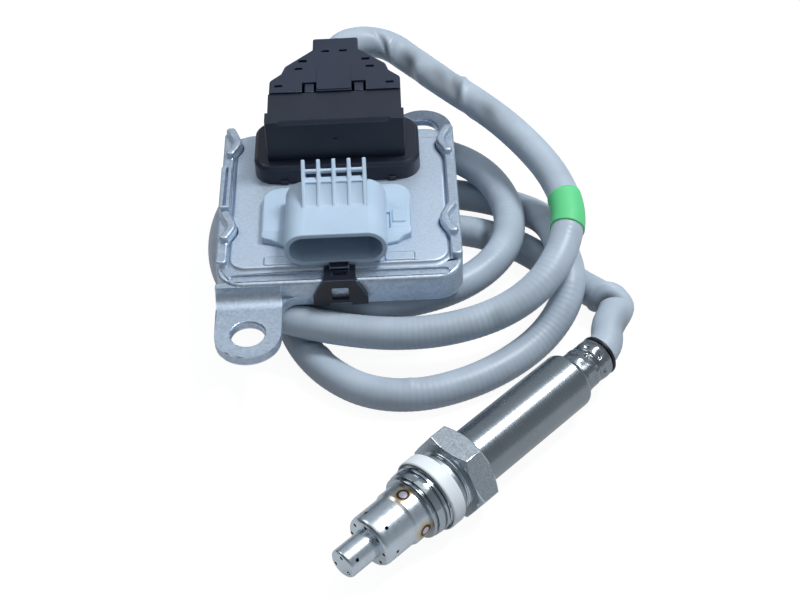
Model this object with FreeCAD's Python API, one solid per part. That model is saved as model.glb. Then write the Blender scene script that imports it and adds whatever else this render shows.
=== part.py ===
import FreeCAD, Part

import os
from math import cos, pi, radians, sin, sqrt, tan

from FreeCAD import Placement, Rotation, Vector

# Nitrogen oxide sensor for an exhaust line, in millimetres, as it lies on a bench.
# A flat cast control unit lies on two layers of its own conduit. A plug boot and
# a five-pin header stand on its cover, and the conduit leaves the boot, winds
# under the unit and ends in the crimp ferrule of a stainless probe.
# +Z is up. The unit is modelled about its own middle, the probe about its own
# axis, and at the end all pieces move so that the middle of the rigid pieces'
# box is at x = y = 0 with the ground at z = 0.

# Clearances
SEAT_GAP = 0.3
NEST = 0.05

# Conduit
CONDUIT_DIAMETER = 9.4
BEND_SHARE = 0.45
TAPE_THICKNESS = 0.35

# Cast tray of the control unit
UNIT_WIDTH = 69.6
UNIT_DEPTH = 67.8
UNIT_CORNER = 8.0
UNIT_UNDERSIDE = 20.0
RIM_HEIGHT = 8.3
TRAY_FLOOR = 2.0
RIM_ROUND = 1.2
LEDGE_WIDTH = 2.0
CHANNEL_DEPTH = 0.6
CHANNEL_WIDTH = 2.8
CHANNEL_INSET = 1.4

# Cover plate
PLATE_THICKNESS = 2.0
PLATE_RISE = 1.1
PLATE_SIDE_MARGIN = 3.9
PLATE_FRONT_MARGIN = 5.7
PLATE_REAR_MARGIN = 1.4
PLATE_CORNER = 5.0
PLATE_ROUND = 0.7
LABEL_RISE = 0.3
LABEL_SINK = 0.5
LABEL_SPANS = ((-21.2, -11.0), (13.0, 21.3))
LABEL_INSET = 0.8
LABEL_DEPTH = 3.4
LABEL_CORNER = 0.6

# Side walls of the tray that are staked over the cover
WALL_RISE = 2.1
WALL_WIDTH = 3.2
STAKE_RISE = 4.0
STAKE_ROUND = 0.9
WALL_FRONT = -26.5
WALL_REAR = 33.0
# Each stake: side, front end, peak, rear end, reach of the peak from the middle
STAKES = (
    (-1, 20.3, 25.7, 33.3, 28.8),
    (-1, -18.2, -12.5, -5.8, 28.9),
    (1, 17.7, 23.4, 30.2, 28.9),
    (1, -18.9, -12.0, -5.5, 28.6),
)
STAKE_DENT_SHARE = 1.2
STAKE_END_ROUND = 1.1
STAKE_PEAK_ROUND = 4.5
NOTCH_MARGIN = 0.35
RIDGE_FRONT = -4.6
RIDGE_REAR = 14.7
RIDGE_WIDTH = 1.1
RIDGE_GROOVE = 0.7

# Fixing ears
EAR_RADIUS = 9.25
EAR_THICKNESS = 3.0
EAR_FRONT_REACH = 13.9
EAR_REAR_REACH = 6.9
EAR_HOLE_RADIUS = 4.65
EAR_EDGE = 0.5
EAR_FRONT_FILLET = 4.5
EAR_REAR_FILLET = 1.8

# Circuit board
BOARD_THICKNESS = 1.6
BOARD_LIFT = 1.6
BOARD_MARGIN = 0.8
POST_RADIUS = 2.2
POST_INSET = 4.0
# Each packaged circuit: place x, y, size and height
CHIPS = ((-18.5, 2.0, 9.0, 1.2), (18.5, 4.0, 7.0, 1.2), (20.5, -8.0, 5.0, 1.0))
CAPACITOR_COUNT = 6
CAPACITOR_PITCH = 8.0
CAPACITOR_SIZE = (3.2, 2.5, 1.4)
CAPACITOR_INSET = 3.9
PAD_SIZE = (30.0, 22.0)
PAD_PLACE = (0.0, 3.0)

# Connector header
HEADER_X = -0.6
FLANGE_THICKNESS = 3.0
HEADER_REAR = 3.2
HEADER_HALF_WIDTH = 21.4
HEADER_CORNER = 5.0
HEADER_FRONT = -18.0
HEADER_FOOT_FRONT = -21.1
# Steps in the front edge of the wings: distance from the wing's end and depth
RIGHT_STEPS = ((2.3, 1.0), (4.0, 2.4))
LEFT_STEPS = ((2.7, 0.6),)
WING_FOOT = 7.4
WING_SLOT = (7.3, 1.2, -16.5, -9.8)
WING_SLOT_DEPTH = 0.8
WING_STEP = (5.4, 3.9, -14.6, -9.0)
WING_STEP_RISE = 0.5
NOSE_LIP = 0.8
HEADER_TOP_FRONT = -16.0
SHROUD_WIDTH = 28.8
SHROUD_HEIGHT = 11.4
SHROUD_WALL = 1.4
SHROUD_LIFT = 0.3
SHROUD_MOUTH = -28.6
SHROUD_REAR = -3.5
SOCKET_DEPTH = 18.0
PIN_COUNT = 5
PIN_PITCH = 4.33
PIN_THICKNESS = 0.8
PIN_WIDTH = 1.8
PIN_TIP = -21.0
PIN_BEND = -7.4
FIN_THICKNESS = 1.1
FIN_FOOT = -17.0
FIN_TOP_FRONT = -5.0
FIN_RISE = 7.2
BAR_SHARES = (0.54, 0.78)
BAR_SIZE = 1.1
WEB_DEPTH = 1.0
HEADER_PLUG = (-13.0, 12.0, -14.5, -4.5)

# Seals under the header and the boot
SEAL_WIDTH = 1.2
SEAL_HEIGHT = 0.8
SEAL_CORNER = 3.0
SEAL_REACH = 2.4

# Plug boot: a base with a flange and a box, and a clamped cap towards the conduit
BOOT_X = -0.35
BOOT_FLANGE_HALF = 24.5
BOOT_FLANGE_FRONT = 8.4
BOOT_FLANGE_REAR = 32.0
BOOT_FLANGE_HEIGHT = 5.9
BOOT_FLANGE_CORNER = 6.0
BOOT_FLANGE_CHAMFER = 1.0
BOX_HALF = 20.3
BOX_NARROW = 19.5
BOX_FRONT = 12.0
BOX_STEP = 17.0
BOX_DROP = 0.6
BOX_CHAMFER = 1.1
BOX_CHAMFER_HALF = 16.4
CAP_FRONT = 26.0
CAP_ROOF = 2.6
CAP_PANEL = (5.1, 26.5, 38.4)
CAP_PANEL_RISE = 0.25
CAP_CHAMFER = 0.6
BOOT_WALL = 1.6
NOSE_UNDERSIDE = 35.6
NOSE_OUTLINE = ((19.5, 32.4), (16.2, 35.8), (15.2, 39.4), (6.9, 47.6))
NOSE_ROUND = 1.6
NECK_HALF = 6.9
NECK_END = 53.3
CONDUIT_START = 49.6
CONDUIT_HEIGHT = 42.5
GROMMET_LENGTH = 3.0
GROMMET_LIP = 1.0
VENT_LENGTH = 2.4
VENT_WIDTH = 1.1
VENT_DEPTH = 1.2
VENTS = ((2.7, 46.2), (9.5, 41.5), (10.7, 37.6), (16.5, 29.2))
LATCH = (5.2, 9.5, 26.0, 30.5)
LATCH_DEPTH = 1.6
LATCH_TAB = 2.7
GATE_RADIUS = 0.7
GATE_DROP = 7.2
FOOT_PLACES = (-16.0, 15.8)
FOOT_SIZE = (2.2, 0.6, 1.4)

# Wires
WIRE_COUNT = 8
WIRE_STRAIGHT = 2.0
WIRE_RADIUS = 0.7
WIRE_CIRCLE = 2.9
CONTACT_PITCH = 4.0
CONTACT_SIZE = (1.8, 2.6)
CONTACT_ROW = 21.0
CONTACT_TOP = 38.0
CONTACT_ROW_GAP = 4.0
BOOT_PLUG_MARGIN = 2.0
BOOT_PLUG_HALF = 5.0

# Spring clip over the front edge of the unit
CLIP_X = 0.1
CLIP_TOP_HALF = 4.5
CLIP_FOOT_HALF = 7.7
CLIP_THICKNESS = 1.5
CLIP_FOOT = 20.6
CLIP_WINDOW_HALF = 2.4
CLIP_WINDOW = (22.4, 27.0)
CLIP_SHOULDER = 2.6
CLIP_MOUTH_HALF = 3.2
CLIP_MOUTH_RISE = 0.9
CLIP_SLOT = (1.0, 2.2)
CLIP_LOOP_HALF = 2.2
CLIP_LOOP_EDGE = 0.6
CLIP_LOOP_RISE = 1.2

# Probe, along its own axis: 0 lies just behind the hexagon's front face, + towards the conduit
PROBE_X = 27.52
PROBE_Y = -92.23
PROBE_AZIMUTH = 44.0
HEX_ACROSS_FLATS = 22.0
HEX_FRONT = -0.9
HEX_REAR = 6.1
SCREW_BORE_RADIUS = 8.3
SHANK_RADIUS = 8.0
SCREW_NECK_RADIUS = 8.9
NECK_GROOVE = 0.5
NECK_GROOVE_AT = -2.1
THREAD_RADIUS = 9.97
GUARD_RADIUS = 10.45
GUARD_FRONT = -9.1
GUARD_REAR = -4.6
COLLAR_FRONT = -14.5
COLLAR_RADIUS = 9.6
COLLAR_FRONT_RADIUS = 9.1
COLLAR_GROOVES = (-13.5, -10.9)
COLLAR_GROOVE_DEPTH = 0.7
TUBE_RADIUS = 7.25
TUBE_FACE = -29.8
TUBE_FULL = -28.2
TUBE_SHOULDER = -20.1
TUBE_FLARE = -19.0
TUBE_FLARE_RADIUS = 7.75
TUBE_WALL = 0.5
TIP_RADIUS = 4.1
TIP_FACE = -38.9
TIP_WALL = 0.4
GAS_HOLE_RADIUS = 0.5
SIDE_HOLE_AT = -26.4
FACE_HOLE_CIRCLE = 5.7
FACE_HOLE_COUNT = 8
TIP_HOLE_CIRCLE = 2.6
TIP_SIDE_HOLE_AT = -36.4
ELEMENT_WIDTH = 4.0
ELEMENT_THICKNESS = 1.3
ELEMENT_FRONT = -35.0
ELEMENT_REAR = 24.0
BUSH_RADIUS = 5.2
BUSH_STOPS = (-11.0, -4.0, 2.0, 12.0)
BORE_FRONT_RADIUS = 3.2
SLEEVE_RADIUS = 8.15
SLEEVE_WALL = 0.5
SLEEVE_REAR = 48.7
SLEEVE_ROUND = 1.8
PRESS_LENGTH = 6.0
HOLDER_FRONT = 17.0
HOLDER_REAR = 30.0
FERRULE_REAR = 60.2
FERRULE_WAIST_SHARE = 0.56
FERRULE_WAIST_RADIUS = 5.35
FERRULE_RADIUS = 6.2
FERRULE_FLATS = 8
FERRULE_FLAT_SHARE = 0.97
RING_REAR = 61.4
RING_RADIUS = 5.9
CONDUIT_END = 56.0

# Route of the conduit from the boot to the probe, about the middle of the unit.
# The last two points follow from the probe's axis.
ROUTE = (
    (0.0, 49.6, 42.5), (0.0, 56.3, 42.5), (4.0, 62.3, 41.4), (10.5, 65.0, 39.8),
    (17.3, 63.9, 38.1), (22.8, 58.2, 36.7), (34.1, 46.0, 35.2), (45.7, 34.4, 33.6),
    (55.4, 22.5, 31.4), (63.6, 8.3, 29.0), (67.1, -7.2, 27.0), (63.6, -21.3, 24.6),
    (56.2, -31.8, 20.8), (44.3, -37.9, 16.5), (28.8, -41.6, 14.8), (13.4, -41.9, 14.6),
    (-1.0, -39.0, 14.7), (-13.0, -34.9, 14.7), (-25.2, -28.2, 14.7), (-33.4, -15.5, 14.7),
    (-35.8, 1.0, 14.7), (-32.8, 17.5, 14.7), (-24.0, 31.0, 14.7), (-10.0, 39.5, 14.7),
    (7.0, 43.0, 14.7), (23.2, 41.8, 14.7), (37.4, 35.2, 14.8), (46.4, 24.0, 15.1),
    (50.9, 8.8, 15.1), (49.1, -6.9, 14.9), (39.8, -19.4, 14.7), (26.1, -27.2, 14.6),
    (9.0, -30.2, 14.6), (-6.0, -27.0, 14.6), (-18.0, -19.5, 14.7), (-24.6, -7.5, 14.7),
    (-24.4, 6.0, 14.0), (-17.5, 18.5, 11.0), (-5.0, 26.5, 7.0), (10.0, 30.5, 5.0),
    (27.0, 31.6, 4.9), (43.5, 27.6, 4.9), (56.2, 18.6, 7.0), (62.5, 4.7, 13.3),
    (64.7, -9.8, 15.6), (66.2, -21.0, 15.0), (64.1, -29.2, 11.0), (57.0, -37.6, 6.3),
    (46.3, -46.3, 4.9), (33.7, -53.4, 4.9), (19.7, -57.0, 4.9), (6.4, -54.8, 4.9),
    (-3.8, -47.2, 4.9), (-10.7, -37.6, 4.9), (-15.0, -26.8, 4.9), (-16.0, -15.2, 4.9),
    (-12.8, -3.9, 4.9), (-4.6, 5.0, 4.9), (6.3, 10.4, 4.9), (18.5, 13.6, 4.9),
    (31.0, 13.6, 4.9), (42.5, 10.6, 4.9), (53.6, 3.9, 4.9), (62.7, -5.7, 4.9),
    (69.8, -14.9, 5.2), (75.5, -22.0, 6.8), (78.6, -29.8, 9.8), (76.6, -38.4, 11.3),
)
ENTRY_STATION = 64.4
TAPE_POINT = 10

# Heights and edges that follow from the sizes above
HALF_WIDTH = UNIT_WIDTH / 2
HALF_DEPTH = UNIT_DEPTH / 2
CONDUIT_RADIUS = CONDUIT_DIAMETER / 2
RIM_TOP = UNIT_UNDERSIDE + RIM_HEIGHT
PLATE_TOP = RIM_TOP + PLATE_RISE
PLATE_BOTTOM = PLATE_TOP - PLATE_THICKNESS
FLOOR_TOP = UNIT_UNDERSIDE + TRAY_FLOOR
BOARD_BOTTOM = FLOOR_TOP + BOARD_LIFT
BOARD_TOP = BOARD_BOTTOM + BOARD_THICKNESS
PLATE_X = HALF_WIDTH - PLATE_SIDE_MARGIN
PLATE_FRONT = -HALF_DEPTH + PLATE_FRONT_MARGIN
PLATE_REAR = HALF_DEPTH - PLATE_REAR_MARGIN
FLANGE_TOP = PLATE_TOP + FLANGE_THICKNESS
SHROUD_BOTTOM = PLATE_TOP + SHROUD_LIFT
SHROUD_TOP = SHROUD_BOTTOM + SHROUD_HEIGHT
BOOT_FLANGE_TOP = PLATE_TOP + BOOT_FLANGE_HEIGHT
PROBE_HEIGHT = HEX_ACROSS_FLATS / 2
EAR_X = HALF_WIDTH - EAR_RADIUS
CAP_TOP = CONDUIT_HEIGHT + CONDUIT_RADIUS + CAP_ROOF
BOX_TOP = CAP_TOP - BOX_DROP
FERRULE_WAIST = SLEEVE_REAR + FERRULE_WAIST_SHARE * (FERRULE_REAR - SLEEVE_REAR)


# Outlines and plain solids
def rounded_wire(corners):
    """Closed wire through corners (x, y, radius), each rounded by its radius."""
    count = len(corners)
    starts = []
    ends = []
    middles = []
    for index, (x, y, radius) in enumerate(corners):
        here = Vector(x, y, 0)
        back = Vector(corners[index - 1][0], corners[index - 1][1], 0) - here
        ahead = Vector(corners[(index + 1) % count][0], corners[(index + 1) % count][1], 0) - here
        back.normalize()
        ahead.normalize()
        half = back.getAngle(ahead) / 2
        if radius:
            trim = radius / tan(half)
            inward = (back + ahead).normalize()
            starts.append(here + back * trim)
            ends.append(here + ahead * trim)
            middles.append(here + inward * (radius / sin(half) - radius))
        else:
            starts.append(here)
            ends.append(here)
            middles.append(None)
    edges = []
    for index in range(count):
        if middles[index]:
            edges.append(Part.Arc(starts[index], middles[index], ends[index]).toShape())
        after = starts[(index + 1) % count]
        if (after - ends[index]).Length > 1e-6:
            edges.append(Part.LineSegment(ends[index], after).toShape())
    return Part.Wire(edges)


def plate(corners, bottom, top):
    """Flat solid between two heights with a rounded outline."""
    face = Part.Face(rounded_wire(corners))
    face.translate(Vector(0, 0, bottom))
    return face.extrude(Vector(0, 0, top - bottom))


def rectangle(x_low, x_high, y_low, y_high, radius=0.0):
    """Corners of a rectangle for plate()."""
    return ((x_low, y_low, radius), (x_high, y_low, radius),
            (x_high, y_high, radius), (x_low, y_high, radius))


def block(x_low, x_high, y_low, y_high, z_low, z_high):
    """Box between six coordinates."""
    size = (x_high - x_low, y_high - y_low, z_high - z_low)
    return Part.makeBox(*size, Vector(x_low, y_low, z_low))


def side_profile(corners, x_low, x_high):
    """Solid whose outline is (y, z, radius) corners, extruded along X."""
    face = Part.Face(rounded_wire(corners))
    solid = face.extrude(Vector(0, 0, x_high - x_low))
    solid.Placement = Placement(Vector(x_low, 0, 0), Rotation(Vector(1, 1, 1), 120))
    return solid


def front_profile(corners, y_low, y_high):
    """Solid whose outline is (x, z, radius) corners, extruded along Y."""
    face = Part.Face(rounded_wire(corners))
    solid = face.extrude(Vector(0, 0, y_low - y_high))
    solid.Placement = Placement(Vector(0, y_low, 0), Rotation(Vector(1, 0, 0), 90))
    return solid


def edges_at(solid, test):
    """Edges whose two ends and middle all pass the test."""
    found = []
    for edge in solid.Edges:
        places = [vertex.Point for vertex in edge.Vertexes] + [edge.CenterOfMass]
        if all(test(place) for place in places):
            found.append(edge)
    return found


def ring_plate(corners, inner_corners, bottom, top):
    """Flat ring between two outlines."""
    return plate(corners, bottom, top).cut(plate(inner_corners, bottom - 1, top + 1))


def turned(profile):
    """Solid of revolution about the X axis from (station, radius) points."""
    points = [Vector(station, 0, radius) for station, radius in profile]
    face = Part.Face(Part.makePolygon(points + points[:1]))
    return face.revolve(Vector(0, 0, 0), Vector(1, 0, 0), 360)


def rod(start, end, radius):
    """Round rod from one place to another."""
    return Part.makeCylinder(radius, (end - start).Length, start, end - start)


def radial_holes(count, station, reach, radius, first=0.0):
    """Rods that point outwards from the X axis, for holes in a tube."""
    rods = []
    for index in range(count):
        angle = first + 2 * pi * index / count
        outward = Vector(0, cos(angle), sin(angle))
        rods.append(Part.makeCylinder(radius, reach, Vector(station, 0, 0), outward))
    return Part.makeCompound(rods)


def axial_holes(count, circle, low, high, radius, first=0.0):
    """Rods along the X axis, spaced on a circle."""
    rods = []
    for index in range(count):
        angle = first + 2 * pi * index / count
        start = Vector(low, circle * cos(angle), circle * sin(angle))
        rods.append(Part.makeCylinder(radius, high - low, start, Vector(1, 0, 0)))
    return Part.makeCompound(rods)


# Control unit

def sided(side, corners):
    """Corners as they are for side +1, mirrored for side -1."""
    if side > 0:
        return corners
    return [(-x, y, radius) for x, y, radius in reversed(corners)]


def stake(side, front, peak, rear, reach):
    """One staked stretch of side wall: bulged inwards, dented on the outside, rounded on top."""
    base = HALF_WIDTH - WALL_WIDTH
    dent = STAKE_DENT_SHARE * (base - reach)
    corners = sided(side, [
        (base, front, STAKE_END_ROUND), (HALF_WIDTH, front, STAKE_END_ROUND),
        (HALF_WIDTH - dent, peak, STAKE_PEAK_ROUND), (HALF_WIDTH, rear, STAKE_END_ROUND),
        (base, rear, STAKE_END_ROUND), (reach, peak, STAKE_PEAK_ROUND),
    ])
    top = RIM_TOP + STAKE_RISE
    solid = plate(corners, PLATE_BOTTOM, top)
    return solid.makeFillet(STAKE_ROUND, edges_at(solid, lambda p: p.z > top - 0.01))


def stake_notch(side, front, peak, rear, reach):
    """Notch in the cover that clears one stake."""
    base = HALF_WIDTH - WALL_WIDTH
    margin = NOTCH_MARGIN
    corners = sided(side, [
        (base, front - margin, 0), (HALF_WIDTH, front - margin, 0), (HALF_WIDTH, rear + margin, 0),
        (base, rear + margin, 0), (reach - margin, peak, STAKE_PEAK_ROUND),
    ])
    return plate(corners, PLATE_BOTTOM - 1, PLATE_TOP + 1)


def side_wall(side):
    """Low wall along one side, with its stakes, or a grooved ridge, on top."""
    low, high = sorted((side * HALF_WIDTH, side * (HALF_WIDTH - WALL_WIDTH)))
    top = RIM_TOP + WALL_RISE
    wall = plate(rectangle(low, high, WALL_FRONT, WALL_REAR, 0.4 * WALL_WIDTH), PLATE_BOTTOM, top)
    wall = wall.makeFillet(0.2 * WALL_WIDTH, edges_at(wall, lambda p: p.z > top - 0.01))
    pieces = [stake(*values) for values in STAKES if values[0] == side]
    if side < 0:
        ridge_low = high - RIDGE_WIDTH
        ridge_top = RIM_TOP + STAKE_RISE
        corners = rectangle(low, high, RIDGE_FRONT, RIDGE_REAR, 0.3 * WALL_WIDTH)
        ridge = plate(corners, PLATE_BOTTOM, ridge_top)
        ridge = ridge.makeFillet(0.4 * RIDGE_WIDTH, edges_at(ridge, lambda p: p.z > ridge_top - 0.01))
        groove = block(ridge_low - RIDGE_GROOVE, ridge_low, RIDGE_FRONT + 1, RIDGE_REAR - 1,
                       top - 1, ridge_top + 1)
        pieces.append(ridge.cut(groove))
    return wall.multiFuse(pieces)


def ear(side, reach, fillet):
    """Fixing ear: front left for side -1, rear right for side +1, and its hole."""
    inner = HALF_WIDTH - 2 * EAR_RADIUS
    middle_y = HALF_DEPTH + reach
    end = middle_y + EAR_RADIUS
    root = HALF_DEPTH - LEDGE_WIDTH
    skirt = inner - 1.5 * fillet
    corners = [
        (HALF_WIDTH, root, 0), (HALF_WIDTH, end, EAR_RADIUS), (inner, end, EAR_RADIUS),
        (inner, HALF_DEPTH, fillet), (skirt, HALF_DEPTH, 0), (skirt, root, 0),
    ]
    top = UNIT_UNDERSIDE + EAR_THICKNESS
    lug = plate(corners, UNIT_UNDERSIDE, top)
    rise = top + fillet
    web = side_profile(((root, top - 1, 0), (HALF_DEPTH + fillet, top - 1, 0),
                        (HALF_DEPTH + fillet, top, 0), (HALF_DEPTH, top, fillet * 0.99),
                        (HALF_DEPTH, rise, 0), (root, rise, 0)), inner, HALF_WIDTH)
    lug = lug.fuse(web)
    hole = Part.makeCylinder(EAR_HOLE_RADIUS, EAR_THICKNESS + 2,
                             Vector(EAR_X, middle_y, UNIT_UNDERSIDE - 1))
    lower = Part.makeCone(EAR_HOLE_RADIUS + EAR_EDGE, EAR_HOLE_RADIUS, EAR_EDGE,
                          Vector(EAR_X, middle_y, UNIT_UNDERSIDE))
    upper = Part.makeCone(EAR_HOLE_RADIUS, EAR_HOLE_RADIUS + EAR_EDGE, EAR_EDGE,
                          Vector(EAR_X, middle_y, top - EAR_EDGE))
    lug = lug.cut(hole.multiFuse([lower, upper]))
    if side < 0:
        lug.rotate(Vector(0, 0, 0), Vector(0, 0, 1), 180)
    return lug


def housing_base():
    """Cast tray with ledge, channel, side walls, ears and board posts."""
    body = plate(rectangle(-HALF_WIDTH, HALF_WIDTH, -HALF_DEPTH, HALF_DEPTH, UNIT_CORNER),
                 UNIT_UNDERSIDE, RIM_TOP)
    body = body.makeFillet(RIM_ROUND, edges_at(body, lambda p: p.z > RIM_TOP - 0.01))
    recess = plate(rectangle(-PLATE_X - SEAT_GAP, PLATE_X + SEAT_GAP, PLATE_FRONT - SEAT_GAP,
                             PLATE_REAR + SEAT_GAP, PLATE_CORNER), PLATE_BOTTOM, RIM_TOP + 1)
    cavity_x = PLATE_X - LEDGE_WIDTH
    cavity = plate(rectangle(-cavity_x, cavity_x, PLATE_FRONT + LEDGE_WIDTH,
                             PLATE_REAR - LEDGE_WIDTH, PLATE_CORNER), FLOOR_TOP, RIM_TOP)
    channel_front = -HALF_DEPTH + CHANNEL_INSET
    channel = plate(rectangle(-PLATE_X, PLATE_X, channel_front, channel_front + CHANNEL_WIDTH,
                              0.45 * CHANNEL_WIDTH), RIM_TOP - CHANNEL_DEPTH, RIM_TOP + 1)
    body = body.cut(recess.multiFuse([cavity, channel]))
    additions = [side_wall(-1), side_wall(1), ear(-1, EAR_FRONT_REACH, EAR_FRONT_FILLET),
                 ear(1, EAR_REAR_REACH, EAR_REAR_FILLET)]
    for x in (-1, 1):
        for y in (PLATE_FRONT + LEDGE_WIDTH + POST_INSET, PLATE_REAR - LEDGE_WIDTH - POST_INSET):
            place = Vector(x * (cavity_x - POST_INSET), y, FLOOR_TOP - 0.5)
            additions.append(Part.makeCylinder(POST_RADIUS, BOARD_LIFT + 0.5, place))
    return body.multiFuse(additions).removeSplitter()


def plug_opening(x_low, x_high, y_low, y_high):
    """Opening in the cover for a plug that goes through it."""
    corners = rectangle(x_low - SEAT_GAP, x_high + SEAT_GAP, y_low - SEAT_GAP, y_high + SEAT_GAP, 1.5)
    return plate(corners, PLATE_BOTTOM - 1, PLATE_TOP + 1)


def boot_plug():
    """Footprint of the boot's plug through the cover: x low, x high, y low, y high."""
    reach = CONTACT_PITCH * WIRE_COUNT / 4 + BOOT_PLUG_MARGIN
    return BOOT_X - reach, BOOT_X + reach, CONTACT_ROW - BOOT_PLUG_HALF, CONTACT_ROW + BOOT_PLUG_HALF


def cover_plate():
    """Cover with notches for the stakes, two plug openings and two plain raised panels."""
    body = plate(rectangle(-PLATE_X, PLATE_X, PLATE_FRONT, PLATE_REAR, PLATE_CORNER - SEAT_GAP),
                 PLATE_BOTTOM, PLATE_TOP)
    body = body.makeFillet(PLATE_ROUND, edges_at(body, lambda p: p.z > PLATE_TOP - 0.01))
    for values in STAKES:
        body = body.cut(stake_notch(*values))
    body = body.cut(plug_opening(*HEADER_PLUG))
    body = body.cut(plug_opening(*boot_plug()))
    front = PLATE_FRONT + LABEL_INSET
    for low, high in LABEL_SPANS:
        corners = rectangle(low, high, front, front + LABEL_DEPTH, LABEL_CORNER)
        body = body.fuse(plate(corners, PLATE_TOP - LABEL_SINK, PLATE_TOP + LABEL_RISE))
    return body.removeSplitter()


def circuit_board():
    """Board on the posts, clear of the tray's wall."""
    half = PLATE_X - LEDGE_WIDTH - BOARD_MARGIN
    front = PLATE_FRONT + LEDGE_WIDTH + BOARD_MARGIN
    rear = PLATE_REAR - LEDGE_WIDTH - BOARD_MARGIN
    return plate(rectangle(-half, half, front, rear, PLATE_CORNER - BOARD_MARGIN),
                 BOARD_BOTTOM, BOARD_TOP)


def board_chips():
    """Packaged circuits on the board."""
    chips = []
    for x, y, size, height in CHIPS:
        chips.append(block(x - size / 2, x + size / 2, y - size / 2, y + size / 2,
                           BOARD_TOP, BOARD_TOP + height))
    return Part.makeCompound(chips)


def board_capacitors():
    """Row of flat capacitors near the front of the board."""
    width, depth, height = CAPACITOR_SIZE
    front = PLATE_FRONT + LEDGE_WIDTH + BOARD_MARGIN + CAPACITOR_INSET
    pieces = []
    for index in range(CAPACITOR_COUNT):
        low = CAPACITOR_PITCH * (index - (CAPACITOR_COUNT - 1) / 2) - width / 2
        pieces.append(block(low, low + width, front, front + depth, BOARD_TOP, BOARD_TOP + height))
    return Part.makeCompound(pieces)


def thermal_pad():
    """Soft pad that carries heat from the board to the tray's floor."""
    x, y = PAD_PLACE
    width, depth = PAD_SIZE
    return plate(rectangle(x - width / 2, x + width / 2, y - depth / 2, y + depth / 2, 1.0),
                 FLOOR_TOP, BOARD_BOTTOM)


# Connector header

def shroud_profile(inset, y_low, y_high):
    """Stadium-shaped prism of the shroud, inset all round."""
    low = HEADER_X - SHROUD_WIDTH / 2 + inset
    high = HEADER_X + SHROUD_WIDTH / 2 - inset
    bottom = SHROUD_BOTTOM + inset
    top = SHROUD_TOP - inset
    radius = (top - bottom) / 2 - 0.01
    corners = ((low, bottom, radius), (high, bottom, radius), (high, top, radius), (low, top, radius))
    return front_profile(corners, y_low, y_high)


def pin(x):
    """One right-angled pin: tip in the socket, leg down to the board."""
    middle = (SHROUD_BOTTOM + SHROUD_TOP) / 2
    half = PIN_THICKNESS / 2
    corners = (
        (PIN_TIP, middle - PIN_WIDTH / 2, 0.3), (PIN_BEND - PIN_WIDTH, middle - PIN_WIDTH / 2, 0),
        (PIN_BEND - PIN_WIDTH, BOARD_TOP, 0), (PIN_BEND, BOARD_TOP, 0),
        (PIN_BEND, middle + PIN_WIDTH / 2, 0.6), (PIN_TIP, middle + PIN_WIDTH / 2, 0.3),
    )
    return side_profile(corners, x - half, x + half)


def pin_places():
    """Middle of each pin, and of each fin, across the header."""
    return [HEADER_X + PIN_PITCH * (index - (PIN_COUNT - 1) / 2) for index in range(PIN_COUNT)]


def header_pins():
    """All pins of the header."""
    return Part.makeCompound([pin(x) for x in pin_places()])


def slope_place(share):
    """Place on the fins' sloped edge, 0 at the foot and 1 at the top: y, z."""
    return (FIN_FOOT + (FIN_TOP_FRONT - FIN_FOOT) * share, SHROUD_TOP + FIN_RISE * share)


def fins():
    """Fins behind the socket, their two cross bars and the web under the lower bar."""
    top = SHROUD_TOP + FIN_RISE
    foot = SHROUD_TOP - 1.0
    pieces = []
    for x in pin_places():
        corners = ((FIN_FOOT, foot, 0), (SHROUD_REAR - 0.5, foot, 0), (SHROUD_REAR - 0.5, top, 0.5),
                   (FIN_TOP_FRONT, top, 0.5), (FIN_FOOT, SHROUD_TOP, 0))
        pieces.append(side_profile(corners, x - FIN_THICKNESS / 2, x + FIN_THICKNESS / 2))
    first, last = pin_places()[0], pin_places()[-1]
    for share in BAR_SHARES:
        y, z = slope_place(share)
        pieces.append(block(first, last, y, y + BAR_SIZE, z - BAR_SIZE, z))
    low_y, low_z = slope_place(BAR_SHARES[0])
    web = ((FIN_FOOT + WEB_DEPTH, foot, 0), (FIN_FOOT + 2 * WEB_DEPTH + 0.4, foot, 0),
           (low_y + 2 * WEB_DEPTH + 0.4, low_z, 0), (low_y + WEB_DEPTH, low_z, 0),
           (FIN_FOOT + WEB_DEPTH, SHROUD_TOP, 0))
    pieces.append(side_profile(web, first, last))
    return pieces


def seal_outline(x_low, x_high, y_low, y_high, shrink):
    """Corners of a seal ring's outer edge, or with shrink of an edge further in."""
    return rectangle(x_low + shrink, x_high - shrink, y_low + shrink, y_high - shrink,
                     SEAL_CORNER - shrink)


def seal_ring(footprint, gap):
    """Seal ring that lies round a plug, grown by gap for its groove."""
    x_low, x_high, y_low, y_high = footprint
    edges = (x_low - SEAL_REACH, x_high + SEAL_REACH, y_low - SEAL_REACH, y_high + SEAL_REACH)
    return ring_plate(seal_outline(*edges, -gap), seal_outline(*edges, SEAL_WIDTH + gap),
                      PLATE_TOP, PLATE_TOP + SEAL_HEIGHT + gap)


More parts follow.
